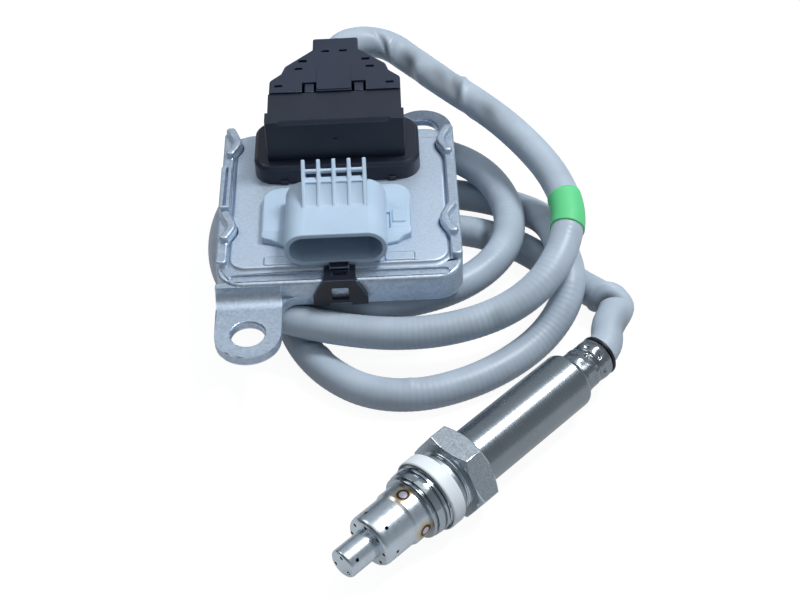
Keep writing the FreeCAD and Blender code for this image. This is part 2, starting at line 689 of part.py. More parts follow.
def connector_header():
    """Flange, socket shroud, fins and plug of the five-pin header, one moulding."""
    left = HEADER_X - HEADER_HALF_WIDTH
    right = HEADER_X + HEADER_HALF_WIDTH
    corners = [(left, HEADER_REAR, HEADER_CORNER), (right, HEADER_REAR, HEADER_CORNER),
               (right, HEADER_FRONT, 1.2)]
    for inward, depth in RIGHT_STEPS:
        corners.append((right - inward, HEADER_FRONT - depth, 0.4))
    corners += [(right - WING_FOOT, HEADER_FOOT_FRONT, 0.6), (left + WING_FOOT, HEADER_FOOT_FRONT, 0.6)]
    for inward, depth in LEFT_STEPS:
        corners.append((left + inward, HEADER_FRONT - depth, 0.6))
    corners.append((left, HEADER_FRONT, 1.2))
    flange = plate(corners[::-1], PLATE_TOP, FLANGE_TOP)
    rear_edges = edges_at(flange, lambda p: p.z > FLANGE_TOP - 0.01 and p.y > HEADER_FRONT + 2)
    flange = flange.makeFillet(0.8, rear_edges)
    lip = PLATE_TOP + NOSE_LIP
    nose = ((HEADER_TOP_FRONT, FLANGE_TOP + 1, 0), (HEADER_TOP_FRONT, FLANGE_TOP, 0),
            (HEADER_FOOT_FRONT - 0.2, lip, 0), (HEADER_FOOT_FRONT - 4, lip, 0),
            (HEADER_FOOT_FRONT - 4, FLANGE_TOP + 1, 0))
    flange = flange.cut(side_profile(nose, left - 2, right + 2))
    inward, width, front, rear = WING_SLOT
    flange = flange.cut(block(right - inward, right - inward + width, front, rear,
                              FLANGE_TOP - WING_SLOT_DEPTH, FLANGE_TOP + 1))
    inward, width, front, rear = WING_STEP
    pad = plate(rectangle(right - inward, right - inward + width, front, rear, 0.4),
                FLANGE_TOP - 1, FLANGE_TOP + WING_STEP_RISE)
    shroud = shroud_profile(0.0, SHROUD_MOUTH, SHROUD_REAR)
    rear_loop = edges_at(shroud, lambda p: p.y > SHROUD_REAR - 0.01)
    shroud = shroud.makeFillet(2.6, rear_loop)
    x_low, x_high, y_low, y_high = HEADER_PLUG
    plug = plate(rectangle(x_low, x_high, y_low, y_high, 1.2), PLATE_BOTTOM, PLATE_TOP + 1)
    body = flange.multiFuse([pad, shroud, plug] + fins())
    socket = shroud_profile(SHROUD_WALL, SHROUD_MOUTH - 1, SHROUD_MOUTH + SOCKET_DEPTH)
    body = body.cut(socket)
    body = body.cut(header_pins())
    body = body.cut(seal_ring(HEADER_PLUG, NEST))
    return body.removeSplitter()


# Plug boot

def nose_corners(inset, y_start, y_end):
    """Outline of the boot's tapering nose and neck, inset all round."""
    right = [(NOSE_OUTLINE[0][0] - inset, y_start, 0)]
    for x, y in NOSE_OUTLINE:
        right.append((x - inset, y - 0.35 * inset, NOSE_ROUND))
    right.append((NECK_HALF - inset, y_end, 0))
    left = [(-x, y, radius) for x, y, radius in reversed(right)]
    return [(x + BOOT_X * (NECK_END - y) / NECK_END, y, radius) for x, y, radius in right + left]


def conduit_bore():
    """Bore for the conduit in the neck, with the wider seat of the grommet."""
    grommet_front = CONDUIT_START - GROMMET_LENGTH
    start = Vector(0, CONDUIT_START, CONDUIT_HEIGHT)
    neck = Part.makeCylinder(CONDUIT_RADIUS + 2 * NEST, NECK_END - CONDUIT_START + 1,
                             start, Vector(0, 1, 0))
    seat = Part.makeCylinder(CONDUIT_RADIUS + GROMMET_LIP + NEST, GROMMET_LENGTH,
                             Vector(0, grommet_front, CONDUIT_HEIGHT), Vector(0, 1, 0))
    return neck.fuse(seat)


def boot_cavity():
    """Space inside the boot for contacts and wires."""
    x_low, x_high, y_low, y_high = boot_plug()
    hall = block(x_low, x_high, BOX_FRONT + BOOT_WALL, CAP_FRONT + 2, BOOT_FLANGE_TOP - 2,
                 BOX_TOP - BOOT_WALL)
    nose_end = CONDUIT_START - GROMMET_LENGTH
    nose = plate(nose_corners(BOOT_WALL, CAP_FRONT, nose_end), NOSE_UNDERSIDE + BOOT_WALL,
                 CAP_TOP - BOOT_WALL)
    shaft = block(x_low + BOOT_WALL, x_high - BOOT_WALL, y_low + BOOT_WALL, y_high - BOOT_WALL,
                  PLATE_BOTTOM - 1, BOOT_FLANGE_TOP)
    return hall.multiFuse([nose, shaft])


def boot_base():
    """Flange, box and lower half of the nose."""
    left = BOOT_X - BOOT_FLANGE_HALF
    right = BOOT_X + BOOT_FLANGE_HALF
    flange = plate(rectangle(left, right, BOOT_FLANGE_FRONT, BOOT_FLANGE_REAR, BOOT_FLANGE_CORNER),
                   PLATE_TOP, BOOT_FLANGE_TOP)
    top_loop = edges_at(flange, lambda p: p.z > BOOT_FLANGE_TOP - 0.01)
    flange = flange.makeChamfer(BOOT_FLANGE_CHAMFER, top_loop)
    box_corners = (
        (BOOT_X - BOX_HALF, BOX_FRONT, 0.6), (BOOT_X + BOX_HALF, BOX_FRONT, 0.6),
        (BOOT_X + BOX_HALF, BOX_STEP, 0.2), (BOOT_X + BOX_NARROW, BOX_STEP, 0),
        (BOOT_X + BOX_NARROW, CAP_FRONT, 0), (BOOT_X - BOX_NARROW, CAP_FRONT, 0),
        (BOOT_X - BOX_NARROW, BOX_STEP, 0), (BOOT_X - BOX_HALF, BOX_STEP, 0.2),
    )
    box = plate(box_corners, PLATE_TOP + 1, BOX_TOP)
    edge = ((BOX_FRONT - 1, BOX_TOP + 1, 0), (BOX_FRONT - 1, BOX_TOP - BOX_CHAMFER, 0),
            (BOX_FRONT, BOX_TOP - BOX_CHAMFER, 0), (BOX_FRONT + BOX_CHAMFER, BOX_TOP, 0),
            (BOX_FRONT + BOX_CHAMFER, BOX_TOP + 1, 0))
    box = box.cut(side_profile(edge, BOOT_X - BOX_CHAMFER_HALF, BOOT_X + BOX_CHAMFER_HALF))
    nose = plate(nose_corners(0.0, CAP_FRONT - 1, NECK_END), NOSE_UNDERSIDE, CONDUIT_HEIGHT)
    nose = nose.makeChamfer(CAP_CHAMFER, edges_at(nose, lambda p: p.z < NOSE_UNDERSIDE + 0.01
                                                  and p.y > CAP_FRONT))
    x_low, x_high, y_low, y_high = boot_plug()
    plug = plate(rectangle(x_low, x_high, y_low, y_high, 1.2), PLATE_BOTTOM, PLATE_TOP + 1)
    gate = Part.makeCylinder(GATE_RADIUS, 2 * SEAT_GAP,
                             Vector(BOOT_X, BOX_FRONT - SEAT_GAP, BOX_TOP - GATE_DROP),
                             Vector(0, 1, 0))
    width, depth, height = FOOT_SIZE
    feet = [block(x - width / 2, x + width / 2, BOOT_FLANGE_FRONT - depth, BOOT_FLANGE_FRONT + 1,
                  PLATE_TOP, PLATE_TOP + height) for x in FOOT_PLACES]
    body = flange.multiFuse([box, nose, plug, gate] + feet)
    body = body.cut(boot_cavity())
    body = body.cut(conduit_bore())
    body = body.cut(seal_ring(boot_plug(), NEST))
    return body.removeSplitter()


def boot_cap():
    """Upper half of the nose, with small vents and two latch windows."""
    body = plate(nose_corners(0.0, CAP_FRONT, NECK_END), CONDUIT_HEIGHT, CAP_TOP)
    body = body.makeChamfer(CAP_CHAMFER, edges_at(body, lambda p: p.z > CAP_TOP - 0.01
                                                  and p.y > CAP_FRONT + 0.01))
    body = body.cut(boot_cavity())
    body = body.cut(conduit_bore())
    low_x, high_x, low_y, high_y = LATCH
    for side in (-1, 1):
        for x, y in VENTS:
            middle = BOOT_X + side * x
            body = body.cut(block(middle - VENT_LENGTH / 2, middle + VENT_LENGTH / 2,
                                  y - VENT_WIDTH / 2, y + VENT_WIDTH / 2,
                                  CAP_TOP - VENT_DEPTH, CAP_TOP + 1))
        edges = sorted((BOOT_X + side * low_x, BOOT_X + side * high_x))
        window = block(*edges, low_y - 1, high_y, CAP_TOP - LATCH_DEPTH - 1, CAP_TOP + 1)
        middle = sum(edges) / 2
        tab = block(middle - LATCH_TAB / 2, middle + LATCH_TAB / 2, low_y + 0.4, high_y,
                    CAP_TOP - BOOT_WALL - 1, CAP_TOP - VENT_DEPTH / 2)
        body = body.cut(window).fuse(tab)
    half, front, rear = CAP_PANEL
    panel = plate(rectangle(BOOT_X - half, BOOT_X + half, front, rear, LABEL_CORNER),
                  CAP_TOP - LABEL_SINK, CAP_TOP + CAP_PANEL_RISE)
    return body.fuse(panel).removeSplitter()


def contact_places():
    """Middle of each contact in the boot."""
    first = BOOT_X - CONTACT_PITCH * (WIRE_COUNT / 2 - 1) / 2
    places = []
    for index in range(WIRE_COUNT):
        column = index % (WIRE_COUNT // 2)
        row = -1 if index < WIRE_COUNT // 2 else 1
        places.append(Vector(first + CONTACT_PITCH * column, CONTACT_ROW + row * CONTACT_ROW_GAP / 2,
                             CONTACT_TOP))
    return places


def wire_circle_places():
    """Offsets of the wires round the middle of the conduit."""
    places = []
    for index in range(WIRE_COUNT):
        angle = 2 * pi * (index + 0.5) / WIRE_COUNT
        places.append((WIRE_CIRCLE * cos(angle), WIRE_CIRCLE * sin(angle)))
    return places


def boot_contacts():
    """Contacts that stand on the board and reach up into the boot."""
    half_x = CONTACT_SIZE[0] / 2
    half_y = CONTACT_SIZE[1] / 2
    pieces = []
    for place in contact_places():
        pieces.append(block(place.x - half_x, place.x + half_x, place.y - half_y, place.y + half_y,
                            BOARD_TOP, CONTACT_TOP))
    return Part.makeCompound(pieces)


def boot_wires():
    """Wires from the contacts to the end of the conduit, each bent once."""
    pieces = []
    order = sorted(wire_circle_places(), key=lambda place: (place[1] > 0, place[0]))
    for place, (side, rise) in zip(contact_places(), order):
        knee = Vector(place.x, place.y, CONDUIT_HEIGHT + rise)
        end = Vector(side, CONDUIT_START, CONDUIT_HEIGHT + rise)
        bend = Vector(side, CONDUIT_START - GROMMET_LENGTH - WIRE_STRAIGHT, CONDUIT_HEIGHT + rise)
        wire = rod(Vector(place.x, place.y, CONTACT_TOP), knee, WIRE_RADIUS)
        wire = wire.multiFuse([
            Part.makeSphere(WIRE_RADIUS, knee), rod(knee, bend, WIRE_RADIUS),
            Part.makeSphere(WIRE_RADIUS, bend), rod(bend, end, WIRE_RADIUS),
        ])
        pieces.append(wire)
    return Part.makeCompound(pieces)


def cable_grommet():
    """Rubber disc in the neck that the wires pass through."""
    disc = Part.makeCylinder(CONDUIT_RADIUS + GROMMET_LIP, GROMMET_LENGTH,
                             Vector(0, CONDUIT_START - GROMMET_LENGTH, CONDUIT_HEIGHT),
                             Vector(0, 1, 0))
    for side, rise in wire_circle_places():
        start = Vector(side, CONDUIT_START - GROMMET_LENGTH - 1, CONDUIT_HEIGHT + rise)
        disc = disc.cut(Part.makeCylinder(WIRE_RADIUS + NEST, GROMMET_LENGTH + 2, start,
                                          Vector(0, 1, 0)))
    return disc


def front_clip():
    """Bent spring clip that holds the cover at the front edge."""
    face = -HALF_DEPTH
    left_foot = CLIP_X - CLIP_FOOT_HALF
    right_foot = CLIP_X + CLIP_FOOT_HALF
    left_top = CLIP_X - CLIP_TOP_HALF
    right_top = CLIP_X + CLIP_TOP_HALF
    top = RIM_TOP + CLIP_THICKNESS
    shoulder = CLIP_FOOT + CLIP_SHOULDER
    front = ((left_foot, CLIP_FOOT, 0.4), (right_foot, CLIP_FOOT, 0.4), (right_foot, shoulder, 0.8),
             (right_top, top, 0.5), (left_top, top, 0.5), (left_foot, shoulder, 0.8))
    apron = front_profile(front, face - CLIP_THICKNESS, face)
    window = front_profile(((CLIP_X - CLIP_WINDOW_HALF, CLIP_WINDOW[0], 0.4),
                            (CLIP_X + CLIP_WINDOW_HALF, CLIP_WINDOW[0], 0.4),
                            (CLIP_X + CLIP_WINDOW_HALF, CLIP_WINDOW[1], 0.4),
                            (CLIP_X - CLIP_WINDOW_HALF, CLIP_WINDOW[1], 0.4)),
                           face - CLIP_THICKNESS - 1, face + 1)
    mouth_left = CLIP_X - CLIP_MOUTH_HALF
    mouth_right = CLIP_X + CLIP_MOUTH_HALF
    mouth_top = CLIP_FOOT + CLIP_MOUTH_RISE
    mouth = front_profile(((mouth_left, CLIP_FOOT - 1, 0), (mouth_right, CLIP_FOOT - 1, 0),
                           (mouth_right, mouth_top, 0.4), (mouth_left, mouth_top, 0.4)),
                          face - CLIP_THICKNESS - 1, face + 1)
    rear = SHROUD_MOUTH - SEAT_GAP
    tab = block(left_top, right_top, face - 0.5, rear, RIM_TOP, top)
    slot = block(CLIP_X - CLIP_LOOP_HALF, CLIP_X + CLIP_LOOP_HALF, face + CLIP_SLOT[0],
                 face + CLIP_SLOT[1], RIM_TOP - 1, top + 1)
    loop_half = CLIP_LOOP_HALF + CLIP_LOOP_EDGE
    loop = block(CLIP_X - loop_half, CLIP_X + loop_half, face + CLIP_SLOT[1] + 0.4,
                 rear, top - 0.5, top + CLIP_LOOP_RISE)
    return apron.multiFuse([tab, loop]).cut(window.multiFuse([mouth, slot])).removeSplitter()


# Probe: each piece is turned about its own axis and then laid in place

def laid(solid):
    """Piece of the probe moved from its own axis to where it lies."""
    placed = solid.copy()
    turn = Rotation(Vector(0, 0, 1), PROBE_AZIMUTH)
    placed.Placement = Placement(Vector(PROBE_X, PROBE_Y, PROBE_HEIGHT), turn).multiply(placed.Placement)
    return placed


def probe_point(station):
    """Place on the probe's axis."""
    azimuth = radians(PROBE_AZIMUTH)
    return Vector(PROBE_X + station * cos(azimuth), PROBE_Y + station * sin(azimuth), PROBE_HEIGHT)


def outer_protection_tube():
    """Wide tube with a flat ring face, a flared rear and its gas holes."""
    inner = TUBE_RADIUS - TUBE_WALL
    flare = TUBE_FLARE_RADIUS
    body = turned((
        (TUBE_FACE, TIP_RADIUS + NEST), (TUBE_FACE, TUBE_RADIUS - 1.1),
        (TUBE_FACE + 0.3, TUBE_RADIUS - 0.5), (TUBE_FACE + 0.8, TUBE_RADIUS - 0.15),
        (TUBE_FULL, TUBE_RADIUS), (TUBE_SHOULDER, TUBE_RADIUS),
        (TUBE_FLARE, flare), (COLLAR_FRONT, flare), (COLLAR_FRONT, flare - 1.6 * TUBE_WALL),
        (TUBE_SHOULDER + TUBE_WALL, inner), (TUBE_FACE + 0.8, inner - 0.2),
        (TUBE_FACE + TUBE_WALL, inner - 0.6), (TUBE_FACE + TUBE_WALL, TIP_RADIUS + NEST),
    ))
    body = body.cut(radial_holes(6, SIDE_HOLE_AT, TUBE_RADIUS + 1, GAS_HOLE_RADIUS))
    return body.cut(axial_holes(FACE_HOLE_COUNT, FACE_HOLE_CIRCLE, TUBE_FACE - 1, TUBE_FACE + 2,
                                GAS_HOLE_RADIUS, radians(-5)))


def inner_protection_tube():
    """Narrow tube that reaches out of the wide one and closes with a holed end."""
    inner = TIP_RADIUS - TIP_WALL
    flare = TUBE_RADIUS - TUBE_WALL - NEST
    body = turned((
        (TIP_FACE, 0), (TIP_FACE, TIP_RADIUS - 0.6), (TIP_FACE + 0.25, TIP_RADIUS - 0.2),
        (TIP_FACE + 0.7, TIP_RADIUS), (TUBE_SHOULDER, TIP_RADIUS), (COLLAR_FRONT - 1.5, flare),
        (COLLAR_FRONT, flare), (COLLAR_FRONT, flare - TIP_WALL), (COLLAR_FRONT - 1.5, flare - TIP_WALL),
        (TUBE_SHOULDER, inner), (TIP_FACE + 2 * TIP_WALL, inner), (TIP_FACE + TIP_WALL, inner - 0.4),
        (TIP_FACE + TIP_WALL, 0),
    ))
    body = body.cut(axial_holes(3, TIP_HOLE_CIRCLE, TIP_FACE - 1, TIP_FACE + 2, GAS_HOLE_RADIUS,
                                radians(90)))
    return body.cut(radial_holes(3, TIP_SIDE_HOLE_AT, TIP_RADIUS + 1, GAS_HOLE_RADIUS, radians(22)))


def seat_body():
    """Steel body: sealing collar with two grooves, plain shank and press seat for the sleeve."""
    stops = BUSH_STOPS
    press = SLEEVE_RADIUS - SLEEVE_WALL - NEST
    shoulder = HEX_REAR + SEAT_GAP
    collar_rear = GUARD_FRONT - SEAT_GAP
    profile = [(COLLAR_FRONT, BORE_FRONT_RADIUS), (COLLAR_FRONT, COLLAR_FRONT_RADIUS - 0.4),
               (COLLAR_FRONT + 0.3, COLLAR_FRONT_RADIUS)]
    for place, before, after in ((COLLAR_GROOVES[0], COLLAR_FRONT_RADIUS, COLLAR_FRONT_RADIUS + 0.2),
                                 (COLLAR_GROOVES[1], COLLAR_RADIUS - 0.1, COLLAR_RADIUS)):
        bottom = before - COLLAR_GROOVE_DEPTH
        profile += [(place - 0.4, before), (place - 0.2, bottom), (place + 0.2, bottom),
                    (place + 0.4, after)]
    profile += [
        (collar_rear - 0.3, COLLAR_RADIUS), (collar_rear, COLLAR_RADIUS - 0.3), (collar_rear, SHANK_RADIUS),
        (shoulder, SHANK_RADIUS), (shoulder, press), (shoulder + PRESS_LENGTH, press),
        (shoulder + PRESS_LENGTH, BUSH_RADIUS + NEST), (stops[0], BUSH_RADIUS + NEST),
        (stops[0], BORE_FRONT_RADIUS),
    ]
    return turned(profile)


def element_slot(low, high, gap):
    """Slot for the ceramic element between two stations."""
    half_width = ELEMENT_WIDTH / 2 + gap
    half_height = ELEMENT_THICKNESS / 2 + gap
    return block(low, high, -half_width, half_width, -half_height, half_height)


def packing(low, high, radius):
    """Round packing piece in the seat body, with its slot for the element."""
    cylinder = Part.makeCylinder(radius, high - low, Vector(low, 0, 0), Vector(1, 0, 0))
    return cylinder.cut(element_slot(low - 1, high + 1, NEST))


def contact_holder():
    """Insulator that presses the contacts on the rear of the element."""
    radius = SLEEVE_RADIUS - SLEEVE_WALL - 2 * NEST
    cylinder = Part.makeCylinder(radius, HOLDER_REAR - HOLDER_FRONT, Vector(HOLDER_FRONT, 0, 0),
                                 Vector(1, 0, 0))
    return cylinder.cut(element_slot(HOLDER_FRONT - 1, ELEMENT_REAR, NEST))


def sensor_sleeve():
    """Drawn sleeve with a rounded rear end."""
    front = HEX_REAR + SEAT_GAP
    inner = SLEEVE_RADIUS - SLEEVE_WALL
    body = Part.makeCylinder(SLEEVE_RADIUS, SLEEVE_REAR - front, Vector(front, 0, 0), Vector(1, 0, 0))
    body = body.makeFillet(SLEEVE_ROUND, edges_at(body, lambda p: p.x > SLEEVE_REAR - 0.01))
    core = Part.makeCylinder(inner, SLEEVE_REAR - SLEEVE_WALL - front + 1, Vector(front - 1, 0, 0),
                             Vector(1, 0, 0))
    core = core.makeFillet(SLEEVE_ROUND - SLEEVE_WALL,
                           edges_at(core, lambda p: p.x > SLEEVE_REAR - SLEEVE_WALL - 0.01))
    hole = Part.makeCylinder(CONDUIT_RADIUS, 2 * SLEEVE_WALL + 2, Vector(SLEEVE_REAR - 2, 0, 0),
                             Vector(1, 0, 0))
    return body.cut(core.fuse(hole))


def crimp_ferrule():
    """Ferrule with two crimped bulges: the front grips the grommet, the rear the conduit."""
    bore = CONDUIT_RADIUS + NEST
    body = turned((
        (SLEEVE_REAR, bore), (SLEEVE_REAR, FERRULE_RADIUS - 0.7), (SLEEVE_REAR + 0.5, FERRULE_RADIUS - 0.2),
        (SLEEVE_REAR + 1.3, FERRULE_RADIUS), (FERRULE_WAIST - 2.0, FERRULE_RADIUS),
        (FERRULE_WAIST - 0.9, FERRULE_RADIUS - 0.3), (FERRULE_WAIST - 0.3, FERRULE_WAIST_RADIUS),
        (FERRULE_WAIST + 0.3, FERRULE_WAIST_RADIUS), (FERRULE_WAIST + 0.8, FERRULE_RADIUS - 0.3),
        (FERRULE_WAIST + 1.6, FERRULE_RADIUS - 0.1), (FERRULE_REAR - 0.8, FERRULE_RADIUS - 0.1),
        (FERRULE_REAR, FERRULE_RADIUS - 0.6), (FERRULE_REAR, bore),
    ))
    corners = []
    reach = FERRULE_RADIUS * FERRULE_FLAT_SHARE / cos(pi / FERRULE_FLATS)
    for index in range(FERRULE_FLATS):
        angle = 2 * pi * index / FERRULE_FLATS
        corners.append(Vector(SLEEVE_REAR - 1, reach * cos(angle), reach * sin(angle)))
    prism = Part.Face(Part.makePolygon(corners + corners[:1]))
    return body.common(prism.extrude(Vector(FERRULE_REAR - SLEEVE_REAR + 2, 0, 0)))


def ferrule_grommet():
    """Rubber plug in the ferrule that the wires pass through."""
    start = SLEEVE_REAR - SLEEVE_WALL
    plug = Part.makeCylinder(CONDUIT_RADIUS - NEST, CONDUIT_END - start, Vector(start, 0, 0),
                             Vector(1, 0, 0))
    for side, rise in wire_circle_places():
        plug = plug.cut(Part.makeCylinder(WIRE_RADIUS + NEST, CONDUIT_END - start + 2,
                                          Vector(start - 1, side, rise), Vector(1, 0, 0)))
    return plug


def conduit_seal():
    """Black ring at the mouth of the ferrule."""
    bore = CONDUIT_RADIUS + NEST
    return turned((
        (FERRULE_REAR, bore), (FERRULE_REAR, RING_RADIUS - 0.2), (FERRULE_REAR + 0.3, RING_RADIUS),
        (RING_REAR - 0.4, RING_RADIUS), (RING_REAR, RING_RADIUS - 0.5), (RING_REAR, bore),
    ))


def lead_wires():
    """Wires from the contact holder to the end of the conduit."""
    pieces = []
    for side, rise in wire_circle_places():
        pieces.append(Part.makeCylinder(WIRE_RADIUS, CONDUIT_END - HOLDER_REAR,
                                        Vector(HOLDER_REAR, side, rise), Vector(1, 0, 0)))
    return Part.makeCompound(pieces)


def hex_screw():
    """Loose fixing screw: hexagon, grooved neck and threaded end, bored for the shank."""
    half = HEX_ACROSS_FLATS / 2
    corners = []
    for index in range(6):
        angle = radians(60 * index)
        corners.append(Vector(0, half / cos(radians(30)) * cos(angle), half / cos(radians(30)) * sin(angle)))
    head = Part.Face(Part.makePolygon(corners + corners[:1])).extrude(Vector(HEX_REAR - HEX_FRONT, 0, 0))
    head.translate(Vector(HEX_FRONT, 0, 0))
    rim = half + 0.1
    outer = half / cos(radians(30)) + 0.3
    drop = (outer - rim) * tan(radians(30))
    limit = turned(((HEX_FRONT, 0), (HEX_FRONT, rim), (HEX_FRONT + drop, outer), (HEX_REAR - drop, outer),
                    (HEX_REAR, rim), (HEX_REAR, 0)))
    head = head.common(limit)
    groove = NECK_GROOVE_AT
    neck = turned((
        (GUARD_FRONT, 0), (GUARD_FRONT, THREAD_RADIUS - 0.8), (GUARD_FRONT + 0.8, THREAD_RADIUS),
        (GUARD_REAR, THREAD_RADIUS), (GUARD_REAR, SCREW_NECK_RADIUS),
        (groove - 0.6, SCREW_NECK_RADIUS), (groove - 0.2, SCREW_NECK_RADIUS - NECK_GROOVE),
        (groove + 0.2, SCREW_NECK_RADIUS - NECK_GROOVE), (groove + 0.6, SCREW_NECK_RADIUS),
        (HEX_FRONT + 0.1, SCREW_NECK_RADIUS), (HEX_FRONT + 0.1, 0),
    ))
    bore = Part.makeCylinder(SCREW_BORE_RADIUS, HEX_REAR - GUARD_FRONT + 2,
                             Vector(GUARD_FRONT - 1, 0, 0), Vector(1, 0, 0))
    return head.fuse(neck).cut(bore)


def thread_guard():
    """White plastic ring that covers the thread of the screw."""
    bore = THREAD_RADIUS + NEST
    return turned((
        (GUARD_FRONT + 0.2, bore), (GUARD_FRONT + 0.2, GUARD_RADIUS - 0.25),
        (GUARD_FRONT + 0.5, GUARD_RADIUS), (GUARD_REAR - 0.3, GUARD_RADIUS),
        (GUARD_REAR, GUARD_RADIUS - 0.25), (GUARD_REAR, bore),
    ))


# Conduit

def route_points():
    """Route of the conduit, with its last points on the probe's axis."""
    points = [Vector(*place) for place in ROUTE]
    return points + [probe_point(ENTRY_STATION), probe_point(CONDUIT_END)]


def route_edges(points):
    """Straight runs joined by tangent arcs; returns the edges and the arcs by point."""
    edges = []
    arcs = {}
    last = points[0]
    for index in range(1, len(points) - 1):
        here = points[index]
        back = points[index - 1] - here
        ahead = points[index + 1] - here
        trim = BEND_SHARE * min(back.Length, ahead.Length)
        half = back.getAngle(ahead) / 2
        radius = trim * tan(half)
        start = here + back.normalize() * trim
        end = here + ahead.normalize() * trim
        inward = (back + ahead).normalize()
        middle = here + inward * (radius / sin(half) - radius)
        edges.append(Part.LineSegment(last, start).toShape())
        arcs[index] = Part.Arc(start, middle, end).toShape()
        edges.append(arcs[index])
        last = end
        print("bend", index, "radius", round(radius, 1))
    edges.append(Part.LineSegment(last, points[-1]).toShape())
    return edges, arcs


def swept(edges, radius):
    """Round solid along connected edges."""
    path = Part.Wire(edges)
    first = edges[0]
    start = first.valueAt(first.FirstParameter)
    along = first.tangentAt(first.FirstParameter)
    circle = Part.Wire([Part.Edge(Part.Circle(start, along, radius))])
    return path.makePipeShell([circle], True, False)


def conduit_and_tape():
    """Corrugated conduit as a plain tube, and the marker tape on one of its bends."""
    edges, arcs = route_edges(route_points())
    conduit = swept(edges, CONDUIT_RADIUS)
    length = sum(edge.Length for edge in edges)
    section = pi * CONDUIT_RADIUS ** 2
    print("conduit length", round(length, 1), "volume ratio", round(conduit.Volume / (section * length), 5))
    arc = [arcs[TAPE_POINT]]
    inner = CONDUIT_RADIUS + NEST
    tape = swept(arc, inner + TAPE_THICKNESS).cut(swept(arc, inner))
    return conduit, tape


def main():
    """Build every piece, centre them and write one file each."""
    os.makedirs("parts", exist_ok=True)
    pieces = {
        "housing_base": housing_base(),
        "cover_plate": cover_plate(),
        "circuit_board": circuit_board(),
        "board_chips": board_chips(),
        "board_capacitors": board_capacitors(),
        "thermal_pad": thermal_pad(),
        "connector_header": connector_header(),
        "header_pins": header_pins(),
        "header_seal": seal_ring(HEADER_PLUG, 0.0),
        "boot_base": boot_base(),
        "boot_cap": boot_cap(),
        "boot_seal": seal_ring(boot_plug(), 0.0),
        "boot_contacts": boot_contacts(),
        "boot_wires": boot_wires(),
        "cable_grommet": cable_grommet(),
        "front_clip": front_clip(),
    }
    probe = {
        "outer_protection_tube": outer_protection_tube(),
        "inner_protection_tube": inner_protection_tube(),
        "seat_body": seat_body(),
        "ceramic_element": element_slot(ELEMENT_FRONT, ELEMENT_REAR, 0.0),
        "front_bush": packing(BUSH_STOPS[0], BUSH_STOPS[1], BUSH_RADIUS),
        "talc_ring": packing(BUSH_STOPS[1], BUSH_STOPS[2], BUSH_RADIUS),
        "rear_bush": packing(BUSH_STOPS[2], BUSH_STOPS[3], BUSH_RADIUS),
        "contact_holder": contact_holder(),
        "sensor_sleeve": sensor_sleeve(),
        "crimp_ferrule": crimp_ferrule(),
        "ferrule_grommet": ferrule_grommet(),
        "conduit_seal": conduit_seal(),
        "lead_wires": lead_wires(),
        "hex_screw": hex_screw(),
        "thread_guard": thread_guard(),
    }
    for name, solid in probe.items():
        pieces[name] = laid(solid)
    box = FreeCAD.BoundBox()
    for solid in pieces.values():
        box.add(solid.optimalBoundingBox(False, False))
    shift = Vector(-box.Center.x, -box.Center.y, 0)
    pieces["cable"], pieces["marker_tape"] = conduit_and_tape()
    for name, solid in pieces.items():
        solid.translate(shift)
        solid.exportStep("parts/" + name + ".step")
    print("unit middle at", round(shift.x, 3), round(shift.y, 3))


main()
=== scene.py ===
"""Looks of a nitrogen oxide sensor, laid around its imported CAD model."""

import math

import bmesh
import bpy
import numpy as np
from mathutils import Matrix, Vector


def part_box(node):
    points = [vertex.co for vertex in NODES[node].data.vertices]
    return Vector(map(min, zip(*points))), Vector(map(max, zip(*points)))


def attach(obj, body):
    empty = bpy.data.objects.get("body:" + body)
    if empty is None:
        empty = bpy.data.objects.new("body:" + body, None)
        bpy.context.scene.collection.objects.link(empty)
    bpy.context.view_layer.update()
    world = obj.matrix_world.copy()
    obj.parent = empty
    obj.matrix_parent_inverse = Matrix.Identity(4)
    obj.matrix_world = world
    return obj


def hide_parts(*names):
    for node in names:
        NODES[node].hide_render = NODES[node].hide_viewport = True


bl_info = {
    "name": "Nitrogen Oxide Sensor Looks",
    "version": (1, 0, 0),
    "blender": (4, 5, 0),
    "location": "View3D > Sidebar > Sensor",
    "description": "Dresses the CAD model of a nitrogen oxide sensor",
    "category": "Object",
}

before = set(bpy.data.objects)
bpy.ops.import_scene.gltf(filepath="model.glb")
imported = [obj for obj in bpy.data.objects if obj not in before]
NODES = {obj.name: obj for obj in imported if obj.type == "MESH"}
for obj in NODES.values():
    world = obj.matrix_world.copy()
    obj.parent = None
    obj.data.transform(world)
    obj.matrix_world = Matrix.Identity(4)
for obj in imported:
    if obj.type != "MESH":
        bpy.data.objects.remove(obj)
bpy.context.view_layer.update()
MM = 0.001

# Bead between cover and rim, about the cover's outline
RIM_TOP = 28.3 * MM
COVER_CORNER = 4.7 * MM
BEAD_INSET = -0.25 * MM
BEAD_WIDTH = 1.0 * MM
BEAD_HEIGHT = 0.8 * MM
BEAD_DEPTH = 0.4 * MM

# The unit's middle lies under the middle of the cover, whose front edge is this far from it
COVER_FRONT = 28.2 * MM
COVER_LOW, COVER_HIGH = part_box("cover_plate")
UNIT_X = (COVER_LOW.x + COVER_HIGH.x) / 2
UNIT_Y = COVER_LOW.y + COVER_FRONT

# The probe's zero station, just behind the hexagon's front face, about the unit's middle, and
# the probe's heading
PROBE_PLACE = (27.52, -92.23, 11.0)
PROBE_HEADING = math.radians(44.0)

